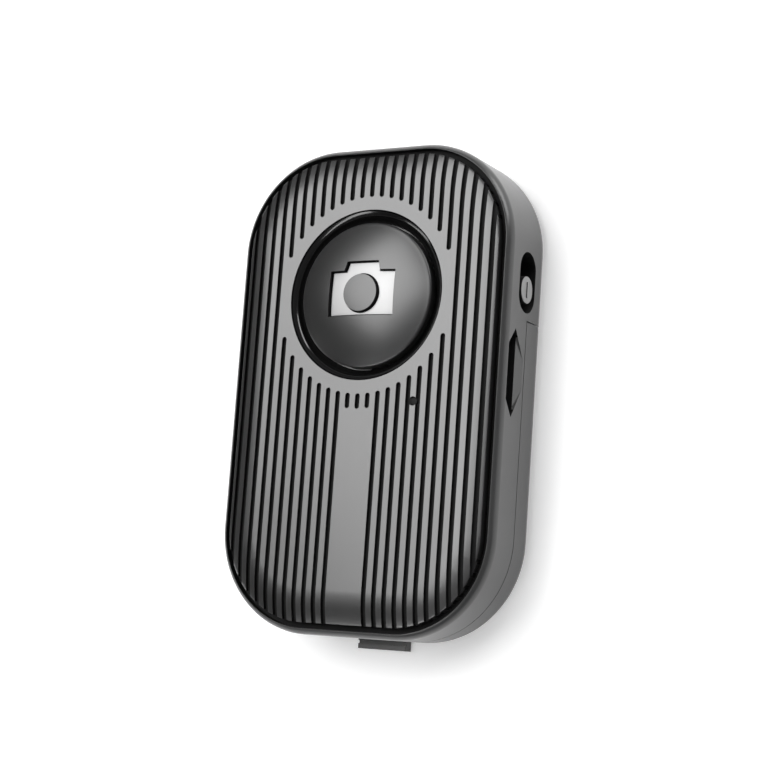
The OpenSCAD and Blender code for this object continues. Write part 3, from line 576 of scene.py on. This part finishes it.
def makeGrooveCutter():
    # Full grooves at the sides, grooves that stop at the land round the button, and short stubs
    shape = ribbedCover
    buttonY = caseShape["buttonY"]
    end = caseShape["halfLength"] + shape["barOver"]
    bars = []
    for k in range(-shape["sideCount"], shape["sideCount"] + 1):
        x = k * shape["groovePitch"]
        if abs(x) >= shape["landRadius"]:
            bars.append(grooveBar(x, -end, end, False, False))
            continue
        reach = math.sqrt(shape["landRadius"] ** 2 - x ** 2)
        stub = abs(k) <= shape["bareCount"]
        foot = buttonY - reach - shape["stubLength"] if stub else -end
        bars.append(grooveBar(x, buttonY + reach, end, True, False))
        bars.append(grooveBar(x, foot, buttonY - reach, stub, True))
    cutter = joinPieces("grooveCutter", bars)
    outside = [shape["ringX"][0] + caseShape["coverGap"]] + shape["ringX"][1:]
    carve(cutter, crownedPlate("grooveFloors", outside, shape["grooveDepth"], shape["floorLow"]))
    return cutter


def paintGrooveShade(cover):
    # Groove floors, groove walls and the plate's own edge are painted rough black as painted shade,
    # the rib tops stay satin
    shape = ribbedCover
    pitch = shape["groovePitch"]
    paint(cover, "coverBlack", "paintedShadeBlack")
    for face in cover.data.polygons:
        middle = face.center
        offLine = abs(middle.x - round(middle.x / pitch) * pitch)
        inGroove = offLine <= shape["grooveWidth"] / 2 + shape["darkSide"]
        reachX = outlineReach(middle) + caseShape["halfWidth"] - caseShape["cornerRadius"]
        sunk = middle.z < crownHeight(max(abs(middle.x), reachX)) - shape["darkDrop"]
        steep = face.normal.z < shape["darkSlope"]
        if middle.z > shape["darkAbove"] and sunk and (inGroove or steep):
            face.material_index = 1


def makeRibbedCover():
    shape = ribbedCover
    ledge = caseShape["ledgeHeight"]
    cover = crownedPlate("ribbedCover", shape["ringX"], 0.0, ledge)
    innerX = [x - shape["footWidth"] for x in shape["ringX"][:-1]]
    hollowLow = ledge - shape["hollowDrop"]
    carve(cover, crownedPlate("coverHollow", innerX, shape["thickness"], hollowLow))
    carve(cover, makeGrooveCutter())
    holes = shape["holeHeights"]
    carve(cover, addRod("ringHole", shape["ringHole"], holes, buttonCentre, shape["ringSteps"]))
    carve(cover, addRod("lightHole", shape["lightHole"], holes, caseShape["lightSpot"],
                        shape["lightSteps"]))
    coverReach = caseShape["cornerRadius"] - caseShape["coverInset"]

    def onEdge(middle):
        near = abs(outlineReach(middle) - coverReach) < shape["edgeNear"]
        return middle.z > shape["edgeAbove"] and near

    softenEdges(cover, shape["edgeSoftness"], onEdge, 3)
    for spot in caseShape["screwSpots"]:
        carve(cover, addRod("boss", shape["bossRadius"], shape["bossHeights"], spot), "UNION")
        carve(cover, addRod("bossHole", shape["bossHole"], shape["bossDrill"], spot))
    paintGrooveShade(cover)
    return cover


finishPiece(makeRibbedCover(), "housing", ["front_cover"])

# Glossy ring round the button: a narrow crest beside the cover, then a hollow down to the dome
bezelRing = {
    "steps": 160, "keyHalf": 0.9, "keyOut": 0.6, "keyHeights": (8.5, 10.3), "bore": 9.25,
    "smoothDegrees": 50,
    "profile": [(9.25, 9.568), (11.54, 9.568), (11.54, 10.55), (10.64, 10.55), (10.64, 11.42),
                (10.52, 11.66), (10.37, 11.58), (10.21, 11.48), (10.06, 11.36), (9.95, 11.2),
                (9.86, 11.0), (9.74, 10.78), (9.54, 10.57), (9.25, 10.39)],
}


def makeBezelRing():
    shape = bezelRing
    ring = latheProfile("bezelRing", shape["profile"], buttonCentre, shape["steps"], closed=True)
    back = caseShape["buttonY"] - shape["bore"] - shape["keyOut"]
    low, high = shape["keyHeights"]
    carve(ring, addBlock("keyWay", (-shape["keyHalf"], back, low),
                         (shape["keyHalf"], back + shape["bore"], high)))
    paint(ring, "bezelGloss")
    return ring


finishPiece(makeBezelRing(), "housing", ["button_bezel"], bezelRing["smoothDegrees"])

# Domed shutter button with a sunk camera sign
shutterDome = {
    "edgeRadius": 9.1, "rings": 22, "underRings": 6, "edgeRound": 0.3,
    "cornerDegrees": (90, 75, 60, 45, 35), "skirtLow": 8.768, "flangeTop": 9.468,
    "flangeRadius": 9.9, "wall": 1.2, "steps": 144, "signSoftness": 0.05, "signAbove": 12.5,
    "stemRadius": 1.5, "stemLow": 9.825, "stemSteps": 49,
    "webHalf": 0.4, "webLow": 11.025, "webSink": 0.9,
    "keyHalf": 0.75, "keyOut": 0.45, "keyLow": 9.1, "keyTop": 10.2,
    "darkReach": 6, "darkDepths": (0.06, 0.8),
}
cameraSign = {
    "halfWidth": 4.55, "halfHeight": 2.85, "humpHalf": 2.2, "humpRise": 1.15, "flare": 0.3,
    "lensRadius": 2.3, "lensSteps": 77, "lensOver": 1, "sink": 0.5, "layer": 0.12,
    "inlayGap": 0.19, "prismHeights": (11.5, 14.0), "blankRadius": 8.0, "blankLow": 10.0,
}


def domeHeight(radius, sink=0.0):
    rise = math.sqrt(caseShape["domeRadius"] ** 2 - radius ** 2)
    return caseShape["domeTop"] - sink - caseShape["domeRadius"] + rise


def domeArc(radius, sink=0.0):
    rings = shutterDome["rings"]
    radii = [radius * (rings - k) / rings for k in range(rings + 1)]
    return [(r, domeHeight(r, sink)) for r in radii]


def domeBlank(name, sink, radius, low):
    points = [(0.0, low), (radius, low)] + domeArc(radius, sink)
    return latheProfile(name, points, buttonCentre, shutterDome["steps"])


def signBlank(name, sink):
    return domeBlank(name, sink, cameraSign["blankRadius"], cameraSign["blankLow"])


def signPrism(name, gap=0.0):
    # Camera outline drawn from one plane, with a hump pulled from its top edge and the lens cut out
    shape = cameraSign
    y = caseShape["buttonY"]
    low, high = shape["prismHeights"]
    humpFoot = shape["humpHalf"] + shape["flare"] - gap
    deselectAll()
    bpy.ops.mesh.primitive_plane_add(size=1, location=(0, y, low))
    sign = nameNew(name)
    sign.scale = (2 * (shape["halfWidth"] - gap), 2 * (shape["halfHeight"] - gap), 1)
    applyPlace()

    def topMiddle(edge):
        middle = edgeMiddle(edge)
        return middle.y > y + 1 and abs(middle.x) < 0.1

    startEdit(sign)
    for x in (-humpFoot, humpFoot):
        selectWhole()
        bpy.ops.mesh.bisect(plane_co=(x, y, low), plane_no=(1, 0, 0))
    pick(sign, "EDGE", topMiddle)
    extrudeBy(0, shape["humpRise"], 0)
    narrow = (shape["humpHalf"] - gap) / humpFoot
    bpy.ops.transform.resize(value=(narrow, 1, 1), center_override=(0, y, low))
    bpy.ops.mesh.select_mode(type="FACE")
    selectWhole()
    extrudeBy(0, 0, high - low)
    mergeAndFace()
    bpy.ops.mesh.dissolve_limited(angle_limit=0.01)
    endEdit()
    lensHeights = (low - shape["lensOver"], high + shape["lensOver"])
    carve(sign, addRod("lensDisc", shape["lensRadius"] + gap, lensHeights, buttonCentre,
                       shape["lensSteps"]))
    return sign


def domeOutline():
    # Half section from the hollow's middle, round the skirt and flange, to the dome's top
    shape = shutterDome
    edge, soft = shape["edgeRadius"], shape["edgeRound"]
    inner, shoulder = edge - shape["wall"], edge - soft
    under = [inner * k / shape["underRings"] for k in range(shape["underRings"] + 1)]
    points = [(r, domeHeight(r, shape["wall"])) for r in under]
    points += [(inner, shape["skirtLow"]), (shape["flangeRadius"], shape["skirtLow"]),
               (shape["flangeRadius"], shape["flangeTop"]), (edge, shape["flangeTop"])]
    for degrees in shape["cornerDegrees"]:
        across, up = math.sin(math.radians(degrees)), math.cos(math.radians(degrees))
        points.append((shoulder + soft * across, domeHeight(shoulder) - soft + soft * up))
    return points + domeArc(shoulder)


def addStemAndKey(dome):
    # The stem over the switch plunger, two crossed webs, and the key that stops the dome turning
    shape = shutterDome
    y, edge, half = caseShape["buttonY"], shape["edgeRadius"], shape["webHalf"]
    top = caseShape["domeTop"]
    stem = addRod("buttonStem", shape["stemRadius"], (shape["stemLow"], top), buttonCentre,
                  shape["stemSteps"])
    for halves in ((edge, half), (half, edge)):
        web = centredBlock("stemWeb", buttonCentre, halves, shape["webLow"], top)
        carve(stem, web, "UNION")
    wallMiddle = edge - shape["wall"] / 2
    roof = domeBlank("stemRoof", shape["webSink"], wallMiddle, shape["skirtLow"])
    carve(stem, roof, "INTERSECT")
    carve(dome, stem, "UNION")
    key = addBlock("buttonKey", (-shape["keyHalf"], y - edge - shape["keyOut"], shape["keyLow"]),
                   (shape["keyHalf"], y - wallMiddle, shape["keyTop"]))
    carve(dome, key, "UNION")


def makeShutterDome():
    shape = shutterDome
    dome = latheProfile("shutterDome", domeOutline(), buttonCentre, shape["steps"])
    pocket = signPrism("signCutter")
    carve(pocket, signBlank("signFloor", cameraSign["sink"] + cameraSign["layer"]))
    carve(dome, pocket)
    softenEdges(dome, shape["signSoftness"], lambda middle: middle.z > shape["signAbove"])
    addStemAndKey(dome)
    # The walls and the floor of the sign's pocket are painted black as painted shade
    paint(dome, "domeGrey", "paintedShadeBlack")
    shallow, deep = shape["darkDepths"]
    for face in dome.data.polygons:
        middle = face.center
        reach = math.hypot(middle.x, middle.y - caseShape["buttonY"])
        if reach < shape["darkReach"] and shallow < domeHeight(reach) - middle.z < deep:
            face.material_index = 1
    return dome


def makeCameraSign():
    sign = signPrism("cameraSign", cameraSign["inlayGap"])
    carve(sign, signBlank("signTop", cameraSign["sink"]), "INTERSECT")
    carve(sign, signBlank("signFloor", cameraSign["sink"] + cameraSign["layer"]))
    paint(sign, "signSilver")
    return sign


finishPiece(makeShutterDome(), "shutter_button", ["shutter_button"])
finishPiece(makeCameraSign(), "shutter_button", ["camera_icon_inlay"])

# Thin black sheet behind the switch slot, with a window for the switch lever; its black is painted
# shade for the inside of the slot
slotShadeSheet = {
    "low": (15.92, 9.75, 3.5), "high": (16.1, 17.15, 7.85), "windowLow": (15.0, 11.65, 4.9),
    "windowHigh": (17.0, 15.45, 6.4), "corner": 0.6, "cornerSteps": 5, "softness": 0.04,
}


def makeSlotShadeSheet():
    shape = slotShadeSheet
    shield = addBlock("slotShadeSheet", shape["low"], shape["high"])
    startEdit(shield)
    pick(shield, "EDGE", lambda edge: abs(edge.verts[0].co.x - edge.verts[1].co.x) > 0.1)
    bpy.ops.mesh.bevel(offset=shape["corner"], segments=shape["cornerSteps"], affect="EDGES")
    endEdit()
    carve(shield, addBlock("leverWindow", shape["windowLow"], shape["windowHigh"]))
    softenEdges(shield, shape["softness"])
    # Black all over, as painted shade for the inside of the slot
    paint(shield, "slotShadeBlack")
    return shield


finishPiece(makeSlotShadeSheet(), "housing", [])

# Case and rear cover start from their own solids, with the edges rounded over
caseBody = {
    "rimSoftness": 0.16, "rimAbove": 10.7, "rimReach": 12.05, "rimNear": 0.04,
    "softness": 0.09, "sharpDegrees": 35, "gapHeights": (9.8, 10.87), "gapOver": 0.005,
    "slotLow": (16.9, 9.6, 3.3), "slotHigh": (18.95, 17.3, 8.0),
    "scoopLow": (17.7, -3.4, 7.38), "scoopHigh": (18.97, 7.6, 9.8),
    "trenchFloor": 17.8, "trenchOver": 1, "trenchY": (-3.28, 7.42), "trenchZ": (7.42, 8.12),
    "trenchTaper": 0.82,
}
batteryDoor = {"softness": 0.10, "sharpDegrees": 35}


def inside(place, low, high):
    # In a box on the right side, or in the same box mirrored to the left
    mirrored = (abs(place.x), place.y, place.z)
    return all(a <= value <= b for a, value, b in zip(low, mirrored, high))


def deepenScoops(body):
    # The deep front of each scoop is carried back along its six-sided outline
    shape = caseBody
    lowY, highY = shape["trenchY"]
    lowZ, highZ = shape["trenchZ"]
    outX = caseShape["halfWidth"] + shape["trenchOver"]
    for side in (-1, 1):
        lowX, highX = sorted((side * shape["trenchFloor"], side * outX))
        block = addBlock("trenchCutter", (lowX, lowY, lowZ), (highX, highY, highZ))
        startEdit(block)
        pick(block, "FACE", lambda face: face.normal.z < -0.9)
        bpy.ops.transform.resize(value=(1, shape["trenchTaper"], 1),
                                 center_override=(lowX, (lowY + highY) / 2, lowZ))
        endEdit()
        carve(body, block)


def makeCaseBody():
    shape = caseBody
    body = nodeCopy("main_housing", "caseBody")
    deepenScoops(body)

    def onRim(middle):
        near = abs(outlineReach(middle) - shape["rimReach"]) < shape["rimNear"]
        return middle.z > shape["rimAbove"] and near

    softenEdges(body, shape["rimSoftness"], onRim, 3)
    softenEdges(body, shape["softness"], degrees=shape["sharpDegrees"])
    # The gap round the cover, the scoops' deep ends and the switch slot are painted black as
    # painted shade
    paint(body, "caseGrey", "paintedShadeBlack")
    gapLow, gapHigh = shape["gapHeights"]
    for face in body.data.polygons:
        middle = face.center
        byCover = outlineReach(middle) < shape["rimReach"] + shape["gapOver"]
        inGap = gapLow < middle.z < gapHigh and byCover
        inSlot = inside(middle, shape["slotLow"], shape["slotHigh"])
        if inGap or inSlot or inside(middle, shape["scoopLow"], shape["scoopHigh"]):
            face.material_index = 1
    return body


def makeBatteryDoor():
    door = nodeCopy("rear_cover", "batteryDoor")
    softenEdges(door, batteryDoor["softness"], degrees=batteryDoor["sharpDegrees"])
    paint(door, "caseGrey")
    return door


finishPiece(makeCaseBody(), "housing", ["main_housing"])
finishPiece(makeBatteryDoor(), "rear_cover", ["rear_cover"])

# Knob of the power switch: a rounded face with one ridge, on a flange with a socket for the lever
powerKnob = {
    "width": 3.2, "length": 3.4, "corner": 1.55, "cornerSteps": 12, "flangeX": 16.15,
    "faceX": 19.0, "round": 0.16, "roundSteps": 5, "ridgeX": 19.13, "ridgeWidth": 0.3,
    "ridgeLength": 1.9, "ridgeLow": 0.5, "ridgeSoftness": 0.06, "flangeWidth": 5.0,
    "flangeLength": 4.6, "flangeDepth": 0.75, "socket": 1.2, "socketSlack": 0.15,
    "socketHeights": (-1, 0.7), "middle": (12.55, 5.65), "darkSlope": 0.8, "darkRise": 0.1,
}


def roundKnobFace():
    # The face is drawn in step by step along a quarter circle
    radius, steps = powerKnob["round"], powerKnob["roundSteps"]
    for k in range(steps):
        low, high = math.radians(90 * k / steps), math.radians(90 * (k + 1) / steps)
        bpy.ops.mesh.inset(thickness=radius * (math.cos(low) - math.cos(high)),
                           depth=radius * (math.sin(high) - math.sin(low)))


def makePowerKnob():
    # The knob is drawn flat, pulled up, rounded over and turned to face the side
    shape = powerKnob
    middle = (0, 0)
    knob = roundedPlate("powerKnob", shape["width"] / 2, shape["length"] / 2, shape["corner"],
                        0, shape["cornerSteps"])
    startEdit(knob)
    selectWhole()
    extrudeBy(0, 0, shape["faceX"] - shape["flangeX"] - shape["round"])
    roundKnobFace()
    endEdit()
    ridge = centredBlock("ridge", middle, (shape["ridgeWidth"] / 2, shape["ridgeLength"] / 2),
                         shape["ridgeLow"], shape["ridgeX"] - shape["flangeX"])
    softenEdges(ridge, shape["ridgeSoftness"])
    carve(knob, ridge, "UNION")
    flangeHalves = (shape["flangeWidth"] / 2, shape["flangeLength"] / 2)
    carve(knob, centredBlock("flange", middle, flangeHalves, 0, shape["flangeDepth"]), "UNION")
    half = shape["socket"] / 2
    carve(knob, centredBlock("socket", middle, (half, half + shape["socketSlack"]),
                             *shape["socketHeights"]))
    # The flange under the slot's edge and the knob's side walls are painted black as painted shade
    paint(knob, "knobGrey", "paintedShadeBlack")
    for face in knob.data.polygons:
        low = face.center.z < shape["flangeDepth"] + shape["darkRise"]
        if low or face.normal.z < shape["darkSlope"]:
            face.material_index = 1
    knob.rotation_euler = (0, math.pi / 2, 0)
    knob.location = (shape["flangeX"], *shape["middle"])
    makeActive(knob)
    applyPlace()
    return knob


finishPiece(makePowerKnob(), "power_slider", ["power_slider"])

# Smoked window over the status light
lightWindow = {
    "steps": 48,
    "profile": [(0, 8.35), (0.52, 8.35), (0.52, 9.95), (0.95, 9.95), (0.95, 10.55), (0.52, 10.55),
                (0.52, 11.5), (0.46, 11.56), (0.3, 11.59), (0, 11.6)],
}


def makeLightWindow():
    window = latheProfile("lightWindow", lightWindow["profile"], caseShape["lightSpot"],
                          lightWindow["steps"])
    paint(window, "lensSmoke")
    return window


finishPiece(makeLightWindow(), "housing", ["light_guide"])

# Coin cell: a crimped can with a stepped cap, and a plain plus on its flat face
coinCell = {
    "centre": (0, -10), "steps": 128, "plusY": -4.2, "plusLength": 2.4, "plusWidth": 0.5,
    "plusLow": 1.0, "faceHeight": 1.75, "plusSink": 0.06,
    "profile": [(0, 1.75), (9.55, 1.75), (9.75, 1.8), (9.92, 1.93), (10, 2.15), (10, 4.2),
                (9.95, 4.42), (9.78, 4.56), (9.5, 4.6), (9.0, 4.6), (8.86, 4.52), (8.72, 4.5),
                (8.6, 4.55), (8.6, 4.8), (8.5, 4.91), (8.3, 4.95), (0, 4.95)],
}


def makeCoinCell():
    shape = coinCell
    cell = latheProfile("coinCell", shape["profile"], shape["centre"], shape["steps"])
    x, y = shape["centre"]
    long, short = shape["plusLength"] / 2, shape["plusWidth"] / 2
    for halves in ((long, short), (short, long)):
        carve(cell, centredBlock("plusBar", (x, y + shape["plusY"]), halves, shape["plusLow"],
                                 shape["faceHeight"] + shape["plusSink"]))
    paint(cell, "cellSteel")
    return cell


finishPiece(makeCoinCell(), "housing", ["coin_cell"])

# Case screws: one is turned with its thread and cross recess, then copied to the four bosses
caseScrews = {
    "steps": 36, "headLow": 4.5, "headHigh": 5.2, "headRadius": 1.5,
    "headFace": [(0, 0), (1.15, 0), (1.38, 0.07), (1.5, 0.22)],
    "radius": 0.8, "root": 0.66, "pitch": 0.4, "threadStart": 1.2,
    "tip": 10.35, "tipLength": 0.3, "tipTaper": 0.25,
    "slotHalf": 0.16, "slotReach": 0.78, "slotDepth": 0.3, "slotOver": 1,
}


def screwOutline():
    # Half section from the head's face, along the thread, to the tip
    shape = caseScrews
    low, high = shape["headLow"], shape["headHigh"]
    threadEnd = shape["tip"] - shape["tipLength"]
    points = [(r, low + z) for r, z in shape["headFace"]]
    points += [(shape["headRadius"], high), (shape["radius"], high)]
    z = high + shape["threadStart"]
    while z + shape["pitch"] < threadEnd:
        points += [(shape["root"], z), (shape["radius"], z + shape["pitch"] / 2)]
        z += shape["pitch"]
    tipRadius = shape["root"] - shape["tipTaper"]
    return points + [(shape["root"], threadEnd), (tipRadius, shape["tip"]), (0, shape["tip"])]


def makeCaseScrews():
    shape = caseScrews
    low = shape["headLow"]
    screw = latheProfile("caseScrew", screwOutline(), (0, 0), shape["steps"])
    long, short = shape["slotReach"], shape["slotHalf"]
    for halves in ((long, short), (short, long)):
        carve(screw, centredBlock("slot", (0, 0), halves, low - shape["slotOver"],
                                  low + shape["slotDepth"]))
    screws = []
    for x, y in caseShape["screwSpots"]:
        makeActive(screw)
        bpy.ops.object.duplicate()
        copy = bpy.context.active_object
        copy.location = (x, y, 0)
        applyPlace()
        screws.append(copy)
    bpy.data.objects.remove(screw)
    joined = joinPieces("caseScrews", screws)
    paint(joined, "zincSteel")
    return joined


finishPiece(makeCaseScrews(), "housing", ["case_screws"])

# Nodes whose solids are right as they are get their finishes
nodeFinishes = {
    "circuit_board": "boardGreen", "tact_switch_base": "switchBlack",
    "tact_switch_plate": "tinnedSteel", "tact_snap_dome": "springSteel",
    "bluetooth_chip": "chipBlack", "crystal_can": "tinnedSteel",
    "board_capacitors": "ceramicTan", "antenna_trace": "goldPlate", "status_led": "ledWhite",
    "slide_switch_base": "switchBlack", "slide_switch_shell": "tinnedSteel",
    "positive_contact": "springSteel", "negative_contact": "springSteel",
    "hinge_pin": "pinSteel", "tact_plunger": "plungerRed",
    "slide_switch_lever": "leverCream", "cell_pad": "foamDark",
}
for node, finish in nodeFinishes.items():
    cadNodes[node].data.materials.clear()
    paint(cadNodes[node], finish)
print("node finishes set:", len(nodeFinishes))

# Camera solved from the photograph's outline, ring and grooves
photoCamera = {
    "centre": (0.110666, -0.030362, 0.199357), "right": (0.871216, 0.070146, -0.485862),
    "up": (0.007799, 0.987636, 0.156573), "back": (0.490838, -0.140199, 0.859897),
    "lens": 84.494, "sensorWidth": 36.0, "clip": (0.005, 10.0),
}


def makeCamera():
    deselectAll()
    bpy.ops.object.camera_add()
    camera = nameNew("photoCamera")
    camera.data.sensor_width = photoCamera["sensorWidth"]
    camera.data.lens = photoCamera["lens"]
    camera.data.clip_start, camera.data.clip_end = photoCamera["clip"]
    columns = [photoCamera[key] for key in ("right", "up", "back")]
    turn = Matrix([[column[row] for column in columns] for row in range(3)]).to_4x4()
    camera.matrix_world = Matrix.Translation(photoCamera["centre"]) @ turn
    bpy.context.scene.camera = camera


makeCamera()

# Pale floor under the remote, lifted to white for the camera, with its shadow kept
studio = {
    "floorSize": 16.0, "floorDrop": 0.00002, "floorColor": grey(0.88), "floorWorn": grey(0.86),
    "floorRoughness": 0.8, "toneSize": 3.0, "toneAmount": 0.5,
    "liftReach": (0.18, 0.9), "lift": (0.3, 0.95),
    "worldColor": (0.12, 0.12, 0.123, 1), "belowColor": (0.85, 0.85, 0.86, 1),
    "belowHeights": (0.04, 0.12), "darkColor": grey(0.01), "darkSide": (-0.90, 0.0, 0.42),
    "darkRange": (0.55, 0.92),
    "softboxes": {
        "keySoftbox": {"towards": (-0.27, 0.295, 0.908), "distance": 0.6,
                       "size": (0.50, 0.48), "radiance": 5.2},
        "cornerSoftbox": {"towards": (0.60, 0.74, 0.30), "distance": 0.7,
                          "size": (0.44, 0.34), "radiance": 5.6},
        "lowerStrip": {"towards": (-0.12, -0.66, 0.73), "distance": 0.6,
                       "size": (0.50, 0.09), "radiance": 6.0},
        "leftStrip": {"towards": (-0.93, -0.28, 0.24), "distance": 0.6,
                      "size": (0.18, 0.12), "radiance": 3.5},
    },
}


def liftStrength(tree, place):
    # Only rays that see the floor get the lift, so it doesn't light the remote
    rays = tree.nodes.new("ShaderNodeLightPath").outputs
    mirrored = addMath(tree, "MAXIMUM", rays["Is Glossy Ray"], rays["Is Transmission Ray"])
    seen = addMath(tree, "MAXIMUM", rays["Is Camera Ray"], mirrored)
    away = tree.nodes.new("ShaderNodeVectorMath")
    away.operation = "LENGTH"
    feed(tree, away.inputs[0], place)
    lift = addRange(tree, away.outputs["Value"], studio["liftReach"], studio["lift"])
    return addMath(tree, "MULTIPLY", seen, lift)


def makeFloor():
    height = cadLow[2] - studio["floorDrop"]
    deselectAll()
    bpy.ops.mesh.primitive_plane_add(size=studio["floorSize"], location=(0, 0, height))
    floor = nameNew("paleFloor")
    applyPlace()
    material, tree, shader, place = newFinish("paleFloor")
    tone = placeGroup(tree, toneDrift, place, {
        "Color": studio["floorColor"], "Worn": studio["floorWorn"],
        "Size": studio["toneSize"], "Amount": studio["toneAmount"]})
    feed(tree, shader.inputs["Base Color"], tone["Color"])
    shader.inputs["Roughness"].default_value = studio["floorRoughness"]
    glow = tree.nodes.new("ShaderNodeEmission")
    feed(tree, glow.inputs["Strength"], liftStrength(tree, place))
    both = tree.nodes.new("ShaderNodeAddShader")
    feed(tree, both.inputs[0], shader.outputs[0])
    feed(tree, both.inputs[1], glow.outputs[0])
    # Seen from below the floor is clear, so the underside and the open cover can be looked at
    clear = tree.nodes.new("ShaderNodeBsdfTransparent")
    facing = tree.nodes.new("ShaderNodeNewGeometry")
    oneSided = tree.nodes.new("ShaderNodeMixShader")
    sides = (facing.outputs["Backfacing"], both.outputs[0], clear.outputs[0])
    for socket, value in zip(oneSided.inputs, sides):
        feed(tree, socket, value)
    feed(tree, tree.nodes["Material Output"].inputs["Surface"], oneSided.outputs[0])
    floor.data.materials.append(material)


def addSoftbox(name, towards, distance, size, radiance):
    deselectAll()
    aim = Vector(towards).normalized()
    bpy.ops.object.light_add(type="AREA", location=aim * distance)
    light = nameNew(name)
    light.rotation_euler = aim.to_track_quat("Z", "Y").to_euler()
    light.data.shape = "RECTANGLE"
    light.data.size, light.data.size_y = size
    light.data.energy = radiance * math.pi * size[0] * size[1]


def makeWorld():
    # Even grey light all round, with a dark flag low on the left, and pale down to the floor's edge
    world = bpy.data.worlds.new("studioWorld")
    bpy.context.scene.world = world
    world.use_nodes = True
    tree = world.node_tree
    place = tree.nodes.new("ShaderNodeTexCoord").outputs["Generated"]
    side = tree.nodes.new("ShaderNodeVectorMath")
    side.operation = "DOT_PRODUCT"
    side.inputs[1].default_value = Vector(studio["darkSide"]).normalized()
    feed(tree, side.inputs[0], place)
    dark = addRange(tree, side.outputs["Value"], studio["darkRange"], (0.0, 1.0))
    around = mixColors(tree, dark, studio["worldColor"], studio["darkColor"])
    height = tree.nodes.new("ShaderNodeSeparateXYZ")
    feed(tree, height.inputs[0], place)
    below = addRange(tree, height.outputs["Z"], studio["belowHeights"], (1.0, 0.0))
    light = mixColors(tree, below, around, studio["belowColor"])
    feed(tree, tree.nodes["Background"].inputs["Color"], light)


makeFloor()
makeWorld()
for name, settings in studio["softboxes"].items():
    addSoftbox(name, **settings)
bpy.context.scene.view_settings.view_transform = "Standard"
print("camera, floor and lights ready")
